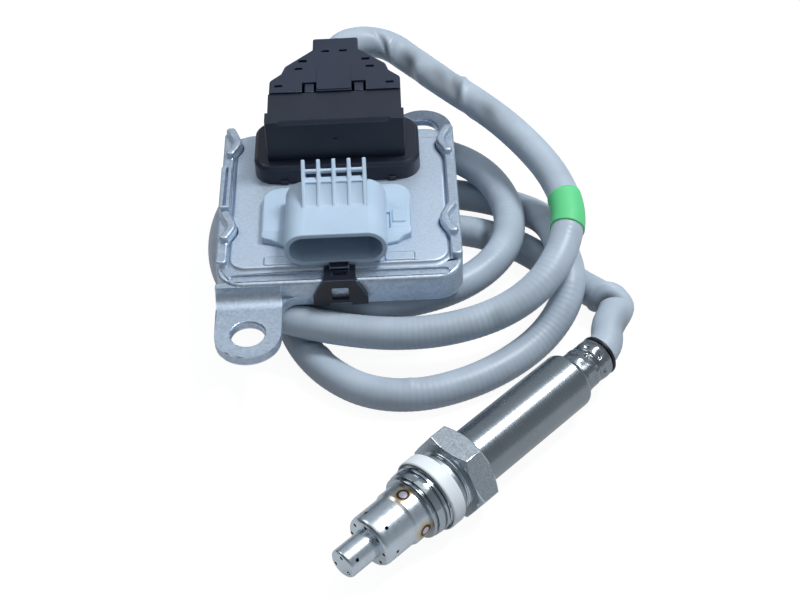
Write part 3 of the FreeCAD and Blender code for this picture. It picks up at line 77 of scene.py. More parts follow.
# Ferrule: stations of its ends and its waist, its radii, and how deep its jaws and punches press
FERRULE_FRONT = 48.7
FERRULE_WAIST = 55.14
FERRULE_REAR = 60.2
FERRULE_BORE = 4.8
FERRULE_FOOT = 5.35
FERRULE_FRONT_CROWN = 0.82
FERRULE_REAR_CROWN = 0.72
JAW_COUNT = 8
JAW_DEPTH = 0.13
FERRULE_WANDER = 0.07
PUNCH_DEPTH = 0.42
PUNCH_LENGTH = 0.55
PUNCH_ANGLE = 0.10
WELD_STATION = -16.8
WELD_RADIUS = 7.75

# Spot welds: how far the tint reaches, and the tones from a weld's middle out to the plain tube
WELD_REACH = 4 * MM
WELD_TONES = (
    (0.0, (0.62, 0.58, 0.66)), (0.24, (0.56, 0.52, 0.60)), (0.30, (0.05, 0.035, 0.035)),
    (0.40, (0.04, 0.03, 0.03)), (0.47, (0.46, 0.36, 0.22)), (0.62, (0.60, 0.54, 0.42)),
)
WELD_END = 0.95

# Route of the conduit, as in the CAD source, about the middle of the unit
CONDUIT_DIAMETER = 9.4 * MM
ROUTE = (
    (0.0, 49.6, 42.5), (0.0, 56.3, 42.5), (4.0, 62.3, 41.4), (10.5, 65.0, 39.8),
    (17.3, 63.9, 38.1), (22.8, 58.2, 36.7), (34.1, 46.0, 35.2), (45.7, 34.4, 33.6),
    (55.4, 22.5, 31.4), (63.6, 8.3, 29.0), (67.1, -7.2, 27.0), (63.6, -21.3, 24.6),
    (56.2, -31.8, 20.8), (44.3, -37.9, 16.5), (28.8, -41.6, 14.8), (13.4, -41.9, 14.6),
    (-1.0, -39.0, 14.7), (-13.0, -34.9, 14.7), (-25.2, -28.2, 14.7), (-33.4, -15.5, 14.7),
    (-35.8, 1.0, 14.7), (-32.8, 17.5, 14.7), (-24.0, 31.0, 14.7), (-10.0, 39.5, 14.7),
    (7.0, 43.0, 14.7), (23.2, 41.8, 14.7), (37.4, 35.2, 14.8), (46.4, 24.0, 15.1),
    (50.9, 8.8, 15.1), (49.1, -6.9, 14.9), (39.8, -19.4, 14.7), (26.1, -27.2, 14.6),
    (9.0, -30.2, 14.6), (-6.0, -27.0, 14.6), (-18.0, -19.5, 14.7), (-24.6, -7.5, 14.7),
    (-24.4, 6.0, 14.0), (-17.5, 18.5, 11.0), (-5.0, 26.5, 7.0), (10.0, 30.5, 5.0),
    (27.0, 31.6, 4.9), (43.5, 27.6, 4.9), (56.2, 18.6, 7.0), (62.5, 4.7, 13.3),
    (64.7, -9.8, 15.6), (66.2, -21.0, 15.0), (64.1, -29.2, 11.0), (57.0, -37.6, 6.3),
    (46.3, -46.3, 4.9), (33.7, -53.4, 4.9), (19.7, -57.0, 4.9), (6.4, -54.8, 4.9),
    (-3.8, -47.2, 4.9), (-10.7, -37.6, 4.9), (-15.0, -26.8, 4.9), (-16.0, -15.2, 4.9),
    (-12.8, -3.9, 4.9), (-4.6, 5.0, 4.9), (6.3, 10.4, 4.9), (18.5, 13.6, 4.9),
    (31.0, 13.6, 4.9), (42.5, 10.6, 4.9), (53.6, 3.9, 4.9), (62.7, -5.7, 4.9),
    (69.8, -14.9, 5.2), (75.5, -22.0, 6.8), (78.6, -29.8, 9.8), (76.6, -38.4, 11.3),
)
ROUTE_END_STATIONS = (64.4, 56.0)
ROUTE_STEPS = 24

# Marker tape: half its width, its thickness, the step at its edge and how far it reaches in
TAPE_HALF = 6.3 * MM
TAPE_THICKNESS = 0.32 * MM
TAPE_EDGE = 0.30 * MM
TAPE_SUNK = 0.15 * MM
TAPE_RINGS = 40
TAPE_AROUND = 48

# Camera, about the middle of the unit
CAMERA_PLACE = (18.216, -381.964, 348.141)
CAMERA_YAW = 0.00463
CAMERA_PITCH = math.radians(43.3)
CAMERA_ROLL = -0.0458
CAMERA_LENS = 76.5
CAMERA_FILM = 36

# Studio round the bench
FLOOR_SEEN_SHARE = 0.87
FLOOR_MIRRORED_SHARE = 0.30
CURTAIN_RADIUS = 1.5
CURTAIN_ELEVATION = math.radians(63)
CURTAIN_BRIGHT_SIDE = (0.85, -0.35, -0.35)
CURTAIN_GLOW = (0.06, 0.38)
CURTAIN_BACK_SIDE = (-0.05, 0.74, 0.67)
CURTAIN_BACK_GLOW = 0.42
CURTAIN_POINTS = 48
FLOOR_HALF = 6.0
FLOOR_GLOW = 1.08

# Lamps: name, place, width and power
LAMPS = (
    ("top_lamp", (0.33, 0.14, 0.74), 0.22, 4.4),
    ("left_lamp", (-0.50, 0.25, 0.60), 0.35, 0.9),
)
LAMP_TARGET = Vector((0, 0, 0.02))


def unit_place(x, y, z):
    """Place in the frame, in metres, from millimetres about the unit's middle."""
    return Vector((UNIT_X + x * MM, UNIT_Y + y * MM, z * MM))


def probe_axis_place(station):
    """Place on the probe's axis, station in millimetres from just behind the hexagon's front face."""
    x, y, z = PROBE_PLACE
    return unit_place(x + station * math.cos(PROBE_HEADING), y + station * math.sin(PROBE_HEADING), z)


def sheen(red, green, blue):
    """Linear colour from the display values 0 to 255."""
    values = np.array([red, green, blue]) / 255
    linear = np.where(values <= 0.04045, values / 12.92, ((values + 0.055) / 1.055) ** 2.4)
    return tuple(float(value) for value in linear)


def toned(colour, share):
    """Colour times a share, with no channel over 1."""
    return tuple(min(1.0, share * channel) for channel in colour)


class SensorLooks(bpy.types.PropertyGroup):
    """Sizes and colours of the finish."""

    ripple_pitch: bpy.props.FloatProperty(
        name="Ripple pitch", description="Distance between the conduit's ripples",
        default=1.6 * MM, unit="LENGTH")
    ripple_depth: bpy.props.FloatProperty(
        name="Ripple depth", description="Depth of the conduit's ripples",
        default=0.055 * MM, unit="LENGTH")
    edge_round: bpy.props.FloatProperty(
        name="Edge rounding", description="Rounding of moulded and cast edges",
        default=0.25 * MM, unit="LENGTH")
    fine_edge: bpy.props.FloatProperty(
        name="Fine edge", description="Rounding of turned and stamped edges",
        default=0.12 * MM, unit="LENGTH")
    conduit_colour: bpy.props.FloatVectorProperty(
        name="Conduit", description="Colour of the conduit", subtype="COLOR",
        default=sheen(176, 190, 204))
    tape_colour: bpy.props.FloatVectorProperty(
        name="Tape", description="Colour of the marker tape", subtype="COLOR",
        default=sheen(100, 214, 142))
    header_colour: bpy.props.FloatVectorProperty(
        name="Header", description="Colour of the header's moulding", subtype="COLOR",
        default=sheen(182, 204, 225))
    boot_colour: bpy.props.FloatVectorProperty(
        name="Boot", description="Colour of the boot's moulding", subtype="COLOR",
        default=sheen(27, 34, 50))
    cast_colour: bpy.props.FloatVectorProperty(
        name="Cast aluminium", description="Colour of the cast tray", subtype="COLOR",
        default=sheen(190, 205, 222))
    cover_colour: bpy.props.FloatVectorProperty(
        name="Cover", description="Colour of the cover plate", subtype="COLOR",
        default=sheen(198, 214, 231))
    steel_colour: bpy.props.FloatVectorProperty(
        name="Steel", description="Colour of the probe's steel", subtype="COLOR",
        default=sheen(176, 186, 194))
    guard_colour: bpy.props.FloatVectorProperty(
        name="Guard ring", description="Colour of the thread guard", subtype="COLOR",
        default=sheen(240, 247, 252))


# Materials

def blank_material(name):
    """Material with its shader and an empty net: material, nodes, links, shader."""
    material = bpy.data.materials.new(name)
    material.use_nodes = True
    nodes = material.node_tree.nodes
    return material, nodes, material.node_tree.links, nodes["Principled BSDF"]


def object_pattern(nodes, links, scale, turn=0.0):
    """Object coordinates turned about Z and scaled along each axis."""
    coordinates = nodes.new("ShaderNodeTexCoord")
    mapping = nodes.new("ShaderNodeMapping")
    mapping.vector_type = "TEXTURE"
    mapping.inputs["Rotation"].default_value = (0, 0, turn)
    stretch = nodes.new("ShaderNodeVectorMath")
    stretch.operation = "MULTIPLY"
    stretch.inputs[1].default_value = scale
    links.new(coordinates.outputs["Object"], mapping.inputs["Vector"])
    links.new(mapping.outputs["Vector"], stretch.inputs[0])
    return stretch.outputs["Vector"]


def noise(nodes, links, vector, scale, detail=3.0, roughness=0.55):
    """Noise of the given scale on a vector."""
    texture = nodes.new("ShaderNodeTexNoise")
    texture.inputs["Scale"].default_value = scale
    texture.inputs["Detail"].default_value = detail
    texture.inputs["Roughness"].default_value = roughness
    links.new(vector, texture.inputs["Vector"])
    return texture.outputs["Fac"]


def spread(nodes, links, value, low, high, start=0.35, end=0.65):
    """Value from start to end carried to the range from low to high."""
    carry = nodes.new("ShaderNodeMapRange")
    carry.inputs["From Min"].default_value = start
    carry.inputs["From Max"].default_value = end
    carry.inputs["To Min"].default_value = low
    carry.inputs["To Max"].default_value = high
    links.new(value, carry.inputs["Value"])
    return carry.outputs["Result"]


def shaded(nodes, links, value, colour, low, high):
    """Colour made darker and lighter by a value: from low to high times the colour."""
    mix = nodes.new("ShaderNodeMix")
    mix.data_type = "RGBA"
    mix.inputs["A"].default_value = (*[channel * low for channel in colour], 1)
    mix.inputs["B"].default_value = (*[min(1.0, channel * high) for channel in colour], 1)
    links.new(value, mix.inputs["Factor"])
    return mix.outputs["Result"]


def bump(nodes, links, shader, height, distance, strength=1.0):
    """Relief of the given depth in metres from a height between 0 and 1."""
    relief = nodes.new("ShaderNodeBump")
    relief.inputs["Distance"].default_value = distance
    relief.inputs["Strength"].default_value = strength
    links.new(height, relief.inputs["Height"])
    links.new(relief.outputs["Normal"], shader.inputs["Normal"])


def plastic(name, colour, roughness, grain=2500.0, depth=0.02 * MM, mottle=0.06):
    """Moulded plastic: fine spark-eroded grain and a faint mottle in the colour."""
    material, nodes, links, shader = blank_material(name)
    place = object_pattern(nodes, links, (1, 1, 1))
    clouds = spread(nodes, links, noise(nodes, links, place, 90.0), 0, 1)
    links.new(shaded(nodes, links, clouds, colour, 1 - mottle, 1 + mottle), shader.inputs["Base Color"])
    grain_value = noise(nodes, links, place, grain, 2.0)
    links.new(spread(nodes, links, clouds, roughness - 0.05, roughness + 0.05, 0, 1),
              shader.inputs["Roughness"])
    bump(nodes, links, shader, grain_value, depth)
    return material


def lay_painted_shade(material, attribute, colour):
    """Colour laid over a material's own by the share that a mesh attribute gives; used for painted shade.
    """
    nodes = material.node_tree.nodes
    links = material.node_tree.links
    shader = nodes["Principled BSDF"]
    amount = nodes.new("ShaderNodeAttribute")
    amount.attribute_name = attribute
    mix = nodes.new("ShaderNodeMix")
    mix.data_type = "RGBA"
    mix.inputs["B"].default_value = (*colour, 1)
    links.new(amount.outputs["Fac"], mix.inputs["Factor"])
    links.new(shader.inputs["Base Color"].links[0].from_socket, mix.inputs["A"])
    links.new(mix.outputs["Result"], shader.inputs["Base Color"])


def metal(name, colour, roughness, grain=1500.0, depth=0.02 * MM, mottle=0.1, stretch=(1, 1, 1),
          turn=0.0, change=0.08, share=1.0, patches=120.0):
    """Bare metal: a grain that may be drawn out along one way, with uneven gloss.

    A share below 1 gives the dull skin of a casting or a blasted sheet. The patches are the
    scale of the uneven colour.
    """
    material, nodes, links, shader = blank_material(name)
    shader.inputs["Metallic"].default_value = share
    place = object_pattern(nodes, links, stretch, turn)
    plain = object_pattern(nodes, links, (1, 1, 1))
    clouds = spread(nodes, links, noise(nodes, links, plain, patches, 4.0), 0, 1)
    links.new(shaded(nodes, links, clouds, colour, 1 - mottle, 1 + mottle / 2), shader.inputs["Base Color"])
    grain_value = noise(nodes, links, place, grain, 3.0)
    links.new(spread(nodes, links, grain_value, roughness - change, roughness + change),
              shader.inputs["Roughness"])
    bump(nodes, links, shader, grain_value, depth)
    return material


def welded_metal(name, colour, roughness):
    """Bright tube with four spot welds round it: pale middle, dark ring and heat tint.

    The distance from a weld's middle is the length of (station - weld's station, arc), where
    arc is the angle about the probe's axis wrapped to a quarter turn, times the radius.
    """
    material = metal(name, colour, roughness, 900, 0.001 * MM, 0.05, change=0.03, patches=300.0)
    nodes = material.node_tree.nodes
    links = material.node_tree.links
    shader = nodes["Principled BSDF"]
    coordinates = nodes.new("ShaderNodeTexCoord")
    mapping = nodes.new("ShaderNodeMapping")
    mapping.vector_type = "TEXTURE"
    mapping.inputs["Location"].default_value = probe_axis_place(WELD_STATION)
    mapping.inputs["Rotation"].default_value = (0, 0, PROBE_HEADING)
    parts = nodes.new("ShaderNodeSeparateXYZ")
    turn = nodes.new("ShaderNodeMath")
    turn.operation = "ARCTAN2"
    quarter = nodes.new("ShaderNodeMath")
    quarter.operation = "WRAP"
    quarter.inputs[1].default_value = math.pi / 4
    quarter.inputs[2].default_value = -math.pi / 4
    arc = nodes.new("ShaderNodeMath")
    arc.operation = "MULTIPLY"
    arc.inputs[1].default_value = WELD_RADIUS * MM
    joined = nodes.new("ShaderNodeCombineXYZ")
    reach = nodes.new("ShaderNodeVectorMath")
    reach.operation = "LENGTH"
    links.new(coordinates.outputs["Object"], mapping.inputs["Vector"])
    links.new(mapping.outputs["Vector"], parts.inputs["Vector"])
    links.new(parts.outputs["Z"], turn.inputs[0])
    links.new(parts.outputs["Y"], turn.inputs[1])
    links.new(turn.outputs["Value"], quarter.inputs[0])
    links.new(quarter.outputs["Value"], arc.inputs[0])
    links.new(parts.outputs["X"], joined.inputs["X"])
    links.new(arc.outputs["Value"], joined.inputs["Y"])
    links.new(joined.outputs["Vector"], reach.inputs[0])
    share = spread(nodes, links, reach.outputs["Value"], 0, 1, 0, WELD_REACH)
    tones = nodes.new("ShaderNodeValToRGB")
    stops = (*WELD_TONES, (WELD_END, colour))
    while len(tones.color_ramp.elements) < len(stops):
        tones.color_ramp.elements.new(0.5)
    for element, (place, tone) in zip(tones.color_ramp.elements, stops):
        element.position = place
        element.color = (*tone, 1)
    links.new(share, tones.inputs["Fac"])
    near = nodes.new("ShaderNodeMath")
    near.operation = "LESS_THAN"
    near.inputs[1].default_value = WELD_END
    links.new(share, near.inputs[0])
    mix = nodes.new("ShaderNodeMix")
    mix.data_type = "RGBA"
    links.new(near.outputs["Value"], mix.inputs["Factor"])
    links.new(shader.inputs["Base Color"].links[0].from_socket, mix.inputs["A"])
    links.new(tones.outputs["Color"], mix.inputs["B"])
    links.new(mix.outputs["Result"], shader.inputs["Base Color"])
    return material


def plain_material(name, colour, roughness, metallic=0.0):
    """Finish of a piece inside the casing: colour with a faint fine grain."""
    material, nodes, links, shader = blank_material(name)
    shader.inputs["Metallic"].default_value = metallic
    shader.inputs["Roughness"].default_value = roughness
    place = object_pattern(nodes, links, (1, 1, 1))
    clouds = spread(nodes, links, noise(nodes, links, place, 600.0), 0, 1)
    links.new(shaded(nodes, links, clouds, colour, 0.9, 1.06), shader.inputs["Base Color"])
    return material


# Meshes

# Points nearer than this are one, and facets that turn by less than the angle are one face
SAME_POINT = 0.001 * MM
SAME_FACE = math.radians(0.6)


def grid_faces(rows, columns, closed):
    """Quads of a grid of rows and columns; closed joins the last column to the first."""
    spans = columns if closed else columns - 1
    row, column = np.meshgrid(np.arange(rows - 1), np.arange(spans), indexing="ij")
    after = (column + 1) % columns
    corners = (row * columns + column, row * columns + after,
               (row + 1) * columns + after, (row + 1) * columns + column)
    return np.stack([corner.ravel() for corner in corners], axis=1)


def grid_object(name, points, material, closed=True, capped=True, uv=None):
    """Smooth surface through a grid of points; a closed grid may get a cap at each end."""
    rows, columns = points.shape[:2]
    faces = grid_faces(rows, columns, closed).tolist()
    if closed and capped:
        faces.append(list(range(columns - 1, -1, -1)))
        faces.append([(rows - 1) * columns + index for index in range(columns)])
    mesh = bpy.data.meshes.new(name)
    mesh.from_pydata(points.reshape(-1, 3).tolist(), [], faces)
    mesh.shade_smooth()
    if uv is not None:
        layer = mesh.uv_layers.new(name="UVMap")
        loops = np.zeros(len(mesh.loops), dtype=np.int32)
        mesh.loops.foreach_get("vertex_index", loops)
        layer.data.foreach_set("uv", uv.reshape(-1, 2)[loops].ravel())
    mesh.materials.append(material)
    piece = bpy.data.objects.new(name, mesh)
    bpy.context.scene.collection.objects.link(piece)
    return piece


def face_outwards(piece):
    """Recalculate the normals of a closed piece."""
    merge_doubles(piece, 0.0)


def merge_doubles(piece, distance=0.002 * MM):
    """Join points that fall together and turn the faces outwards."""
    form = bmesh.new()
    form.from_mesh(piece.data)
    if distance:
        bmesh.ops.remove_doubles(form, verts=form.verts, dist=distance)
    bmesh.ops.recalc_face_normals(form, faces=form.faces)
    form.to_mesh(piece.data)
    form.free()


def around_probe(stations, radii, angles):
    """Points at the stations and radii in millimetres, turned by the angles about the probe's axis."""
    heading = np.array([math.cos(PROBE_HEADING), math.sin(PROBE_HEADING), 0])
    side = np.array([math.sin(PROBE_HEADING), -math.cos(PROBE_HEADING), 0])
    start = np.array(probe_axis_place(0))
    stations, radii, angles = np.broadcast_arrays(stations, radii, angles)
    outward = np.cos(angles)[..., None] * side + np.sin(angles)[..., None] * np.array([0, 0, 1])
    return start + MM * (stations[..., None] * heading + radii[..., None] * outward)


def dressed(node, material, edge, body="sensor", angle=30.0, edge_material=None, held=True):
    """Copy of a CAD node with merged facets, smooth shading and rounded edges, which may get a brighter
    edge colour for wear and painted highlight.

    A held rounding goes no further than its width along the neighbouring edges, or a corner
    between slender facets would fly off, and the large faces set its shading. A piece with thin
    fins or lines on a wide face isn't held, because that would crease the face.
    """
    mesh = NODES[node].data.copy()
    mesh.name = node + "_dressed"
    form = bmesh.new()
    form.from_mesh(mesh)
    bmesh.ops.remove_doubles(form, verts=form.verts, dist=SAME_POINT)
    bmesh.ops.dissolve_limit(form, angle_limit=SAME_FACE, verts=form.verts, edges=form.edges)
    form.to_mesh(mesh)
    form.free()
    mesh.shade_smooth()
    mesh.set_sharp_from_angle(angle=math.radians(angle))
    mesh.materials.clear()
    mesh.materials.append(material)
    piece = bpy.data.objects.new(node + "_dressed", mesh)
    bpy.context.scene.collection.objects.link(piece)
    if edge:
        rounding = piece.modifiers.new("edges", "BEVEL")
        rounding.width = edge
        rounding.segments = 2
        rounding.limit_method = "ANGLE"
        rounding.angle_limit = math.radians(angle)
        rounding.use_clamp_overlap = False
        if held:
            rounding.offset_type = "ABSOLUTE"
            normals = piece.modifiers.new("normals", "WEIGHTED_NORMAL")
            normals.keep_sharp = True
        # A brighter edge material on the rounded edges stands for wear and for painted highlight where
        # light catches them
        if edge_material:
            mesh.materials.append(edge_material)
            rounding.material = 1
    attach(piece, body)
    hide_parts(node)
    return piece


def finish_node(node, material):
    """Material on a CAD node that is shown as it is."""
    slots = NODES[node].material_slots
    for slot in slots:
        slot.material = material
    if not slots:
        NODES[node].data.materials.append(material)


# Conduit

# Dents and folds: place along the conduit in mm, angle round it in degrees, slant in mm per
# degree, reach along in mm, reach round in degrees, depth in mm (below 0 stands proud)
CONDUIT_MARKS = (
    (26.6, 30, -0.12, 1.7, 52, 0.8), (29.6, 30, -0.12, 1.5, 52, -0.6),
    (37.5, 28, -0.03, 3.3, 52, 1.6), (32.6, 28, -0.03, 1.6, 44, -0.3), (42.4, 28, -0.03, 1.8, 44, -0.35),
    (50.0, 55, -0.05, 4.8, 50, 1.2), (56.4, 58, -0.054, 2.6, 66, 1.4), (59.4, 72, -0.054, 1.1, 78, -0.85),
    (71.0, 40, -0.03, 4.2, 46, 1.1),
    (843.5, 28, 0.0, 1.4, 36, 1.0), (846.0, 28, 0.0, 1.1, 36, -0.45),
    (743.5, 62, 0.05, 0.9, 40, 0.6), (741.6, 62, 0.05, 1.0, 40, -0.5),
    (709.0, 74, 0.0, 1.6, 26, -0.45), (160.0, 150, 0.03, 2.2, 40, 0.45), (620.0, 60, 0.04, 2.4, 40, 0.40),
    (890.4, 62, 0.03, 1.5, 88, -1.75), (894.8, 56, 0.03, 1.7, 62, 2.7),
    (906.0, 5, 0.0, 6.5, 62, -1.3), (907.0, 180, 0.0, 5.0, 62, 1.5), (896.5, 165, 0.0, 3.2, 56, -1.1),
)
# Painted shade in the conduit's dents and folds: the dent depth at which it is full, and its dark colour
PAINTED_SHADE_DEPTH = 2.6 * MM
PAINTED_SHADE_COLOUR = (0.045, 0.05, 0.06)


def route_line():
    """Points read from the NURBS spline of the route, as an array."""
    places = [unit_place(*place) for place in ROUTE]
    places += [probe_axis_place(station) for station in ROUTE_END_STATIONS]
    curve = bpy.data.curves.new("route", "CURVE")
    curve.dimensions = "3D"
    spline = curve.splines.new("NURBS")
    spline.points.add(len(places) - 1)
    for point, place in zip(spline.points, places):
        point.co = (*place, 1)
    spline.order_u = 3
    spline.use_endpoint_u = True
    spline.resolution_u = ROUTE_STEPS
    holder = bpy.data.objects.new("route", curve)
    mesh = bpy.data.meshes.new_from_object(holder)
    line = np.zeros(len(mesh.vertices) * 3)
    mesh.vertices.foreach_get("co", line)
    bpy.data.objects.remove(holder)
    bpy.data.meshes.remove(mesh)
    bpy.data.curves.remove(curve)
    return line.reshape(-1, 3)


def along_line(line, lengths):
    """Places and unit tangents at the given lengths along a line of points."""
    steps = np.linalg.norm(np.diff(line, axis=0), axis=1)
    reached = np.concatenate([[0], np.cumsum(steps)])
    places = np.stack([np.interp(lengths, reached, line[:, axis]) for axis in range(3)], axis=1)
    tangents = np.gradient(places, axis=0)
    tangents /= np.linalg.norm(tangents, axis=1, keepdims=True)
    return places, tangents


def line_length(line):
    """Length of a line of points."""
    return float(np.linalg.norm(np.diff(line, axis=0), axis=1).sum())


def tube(places, tangents, radii, around):
    """Tube along a line: each ring stands square to it, its radius given per ring and angle."""
    side = np.cross(tangents, [0, 0, 1])
    side /= np.linalg.norm(side, axis=1, keepdims=True)
    rise = np.cross(side, tangents)
    angle = np.arange(around) * 2 * math.pi / around
    outward = np.cos(angle)[None, :, None] * side[:, None] + np.sin(angle)[None, :, None] * rise[:, None]
    return places[:, None] + radii[..., None] * outward


def conduit_radii(lengths, around, looks):
    """Radius and painted shade per ring and angle: a cosine ripple of uneven height, less each mark's dent.

    A dent is its depth times a bell curve along the conduit, whose middle shifts with the
    angle by the slant, times a bell curve round the conduit. Painted shade darkens a dent,
    standing in for the shade in the folds: its share grows with the depth up to the depth set
    for full shade.
    """
    ripple = (0.5 + 0.5 * np.cos(2 * math.pi * lengths / looks.ripple_pitch)) ** 2
    unevenness = 0.75 + 0.25 * np.sin(lengths / (11 * MM)) * np.sin(lengths / (4.3 * MM) + 1)
    radius = CONDUIT_DIAMETER / 2 - looks.ripple_depth * (1 - ripple) * unevenness
    radii = np.repeat(radius[:, None], around, axis=1)
    dents = np.zeros_like(radii)
    angle = np.arange(around) * 360 / around
    for place, middle, slant, reach, spread_angle, depth in CONDUIT_MARKS:
        apart = (angle - middle + 180) % 360 - 180
        along = (lengths[:, None] / MM - place - slant * apart[None, :]) / reach
        dents += depth * MM * np.exp(-along ** 2) * np.exp(-(apart[None, :] / spread_angle) ** 2)
    return radii - dents, np.clip(dents / PAINTED_SHADE_DEPTH, 0, 1)


class SENSOR_OT_conduit(bpy.types.Operator):
    """Build the rippled conduit and its marker tape."""

    bl_idname = "sensor.conduit"
    bl_label = "Conduit"

    rings_per_ripple: bpy.props.IntProperty(name="Rings per ripple", default=5)
    around: bpy.props.IntProperty(name="Points around", default=32)

    def execute(self, context):
        looks = context.scene.sensor_looks
        line = route_line()
        length = line_length(line)
        count = int(length / looks.ripple_pitch * self.rings_per_ripple)
        lengths = np.linspace(0, length, count)
        places, tangents = along_line(line, lengths)
        radii, crease_shade = conduit_radii(lengths, self.around, looks)
        points = tube(places, tangents, radii, self.around)
        finish = plastic("conduit_finish", tuple(looks.conduit_colour), 0.42, 3000, 0.004 * MM)
        # Painted shade: a dark colour laid on the conduit where its dents and folds are deep
        lay_painted_shade(finish, "crease_shade", PAINTED_SHADE_COLOUR)
        conduit = grid_object("conduit", points, finish)
        share = conduit.data.attributes.new("crease_shade", "FLOAT", "POINT")
        share.data.foreach_set("value", crease_shade.ravel())
        face_outwards(conduit)
        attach(conduit, "sensor")
        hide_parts("cable")

        low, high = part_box("marker_tape")
        middle = (low + high) / 2
        nearest = np.argmin(np.linalg.norm(places - np.array(middle), axis=1))
        span = np.linspace(lengths[nearest] - TAPE_HALF, lengths[nearest] + TAPE_HALF, TAPE_RINGS)
        tape_places, tape_tangents = along_line(line, span)
        outer = np.full((TAPE_RINGS, TAPE_AROUND), CONDUIT_DIAMETER / 2 + TAPE_THICKNESS)
        outer[0] = outer[-1] = CONDUIT_DIAMETER / 2 - TAPE_SUNK
        outer[1] = outer[-2] = CONDUIT_DIAMETER / 2 + TAPE_EDGE
        tape_places[1], tape_places[-2] = tape_places[0], tape_places[-1]
        tape_finish = plastic("tape_finish", tuple(looks.tape_colour), 0.5, 1800, 0.004 * MM, 0.03)
        tape = grid_object("tape_band", tube(tape_places, tape_tangents, outer, TAPE_AROUND), tape_finish)
        face_outwards(tape)
        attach(tape, "sensor")
        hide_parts("marker_tape")
        return {"FINISHED"}


# Stage

class SENSOR_OT_stage(bpy.types.Operator):
    """Set the camera, the floor, the lamps and the world."""

    bl_idname = "sensor.stage"
    bl_label = "Stage"

    def execute(self, context):
        self.camera(context)
        self.floor(context)
        self.curtain()
        self.lamps(context)
        self.world(context)
        context.scene.view_settings.view_transform = "Standard"
        return {"FINISHED"}

    def camera(self, context):
        right = Vector((math.cos(CAMERA_YAW), math.sin(CAMERA_YAW), 0))
        ahead = Vector((-math.sin(CAMERA_YAW) * math.cos(CAMERA_PITCH),
                        math.cos(CAMERA_YAW) * math.cos(CAMERA_PITCH), -math.sin(CAMERA_PITCH)))
        above = right.cross(ahead)
        across = right * math.cos(CAMERA_ROLL) + above * math.sin(CAMERA_ROLL)
        upward = above * math.cos(CAMERA_ROLL) - right * math.sin(CAMERA_ROLL)
        data = bpy.data.cameras.new("camera")
        data.lens = CAMERA_LENS
        data.sensor_width = CAMERA_FILM
        data.clip_start = 0.01
        camera = bpy.data.objects.new("camera", data)
        turn = Matrix((across, upward, -ahead)).transposed().to_4x4()
        camera.matrix_world = Matrix.Translation(unit_place(*CAMERA_PLACE)) @ turn
        context.scene.collection.objects.link(camera)
        context.scene.camera = camera

    def floor(self, context):
        corners = FLOOR_HALF * np.array([[[-1, -1, 0], [1, -1, 0]], [[-1, 1, 0], [1, 1, 0]]])
        material, nodes, links, shader = blank_material("floor_finish")
        shader.inputs["Roughness"].default_value = 0.9
        path = nodes.new("ShaderNodeLightPath")
        tone = nodes.new("ShaderNodeMix")
        tone.data_type = "RGBA"
        tone.inputs["A"].default_value = (0.42, 0.43, 0.45, 1)
        tone.inputs["B"].default_value = (0.95, 0.95, 0.95, 1)
        links.new(path.outputs["Is Camera Ray"], tone.inputs["Factor"])
        links.new(tone.outputs["Result"], shader.inputs["Base Color"])
        glow = nodes.new("ShaderNodeEmission")
        glow.inputs["Color"].default_value = (1, 1, 1, 1)
        glow.inputs["Strength"].default_value = FLOOR_GLOW
        mirrored = nodes.new("ShaderNodeMath")
        mirrored.operation = "MULTIPLY"
        mirrored.inputs[1].default_value = FLOOR_MIRRORED_SHARE
        links.new(path.outputs["Is Glossy Ray"], mirrored.inputs[0])
        share = nodes.new("ShaderNodeMath")
        share.operation = "MULTIPLY_ADD"
        share.inputs[1].default_value = FLOOR_SEEN_SHARE
        links.new(path.outputs["Is Camera Ray"], share.inputs[0])
        links.new(mirrored.outputs["Value"], share.inputs[2])
        mix = nodes.new("ShaderNodeMixShader")
        links.new(share.outputs["Value"], mix.inputs["Fac"])
        links.new(shader.outputs["BSDF"], mix.inputs[1])
        links.new(glow.outputs["Emission"], mix.inputs[2])
        links.new(mix.outputs["Shader"], nodes["Material Output"].inputs["Surface"])
        floor = grid_object("floor", corners, material, closed=False)

    def curtain(self):
        """Dark studio wall round the bench, open at the top, paler on one side and behind.

        The wall is a circle carried straight up; only reflections and soft light see it.
        """
        angle = np.arange(CURTAIN_POINTS) * 2 * math.pi / CURTAIN_POINTS
        rise = CURTAIN_RADIUS * math.tan(CURTAIN_ELEVATION)
        circle = np.stack([CURTAIN_RADIUS * np.cos(angle), CURTAIN_RADIUS * np.sin(angle),
                           np.zeros(CURTAIN_POINTS)], axis=1)
        points = np.stack([circle, circle + [0, 0, rise]])
        material, nodes, links, shader = blank_material("curtain_finish")
        coordinates = nodes.new("ShaderNodeTexCoord")
        direction = nodes.new("ShaderNodeVectorMath")
        direction.operation = "NORMALIZE"
        links.new(coordinates.outputs["Object"], direction.inputs[0])
        towards = nodes.new("ShaderNodeVectorMath")
        towards.operation = "DOT_PRODUCT"
        towards.inputs[1].default_value = CURTAIN_BRIGHT_SIDE
        links.new(direction.outputs["Vector"], towards.inputs[0])
        glow = nodes.new("ShaderNodeEmission")
        glow.inputs["Color"].default_value = (0.86, 0.93, 1, 1)
        behind = nodes.new("ShaderNodeVectorMath")
        behind.operation = "DOT_PRODUCT"
        behind.inputs[1].default_value = CURTAIN_BACK_SIDE
        links.new(direction.outputs["Vector"], behind.inputs[0])
        both = nodes.new("ShaderNodeMath")
        both.operation = "ADD"
        links.new(spread(nodes, links, towards.outputs["Value"], *CURTAIN_GLOW, -0.6, 0.9), both.inputs[0])
        links.new(spread(nodes, links, behind.outputs["Value"], 0, CURTAIN_BACK_GLOW, 0.72, 0.97),
                  both.inputs[1])
        links.new(both.outputs["Value"], glow.inputs["Strength"])
        links.new(glow.outputs["Emission"], nodes["Material Output"].inputs["Surface"])
        curtain = grid_object("curtain", points, material, capped=False)
        curtain.visible_camera = False
        curtain.visible_shadow = False

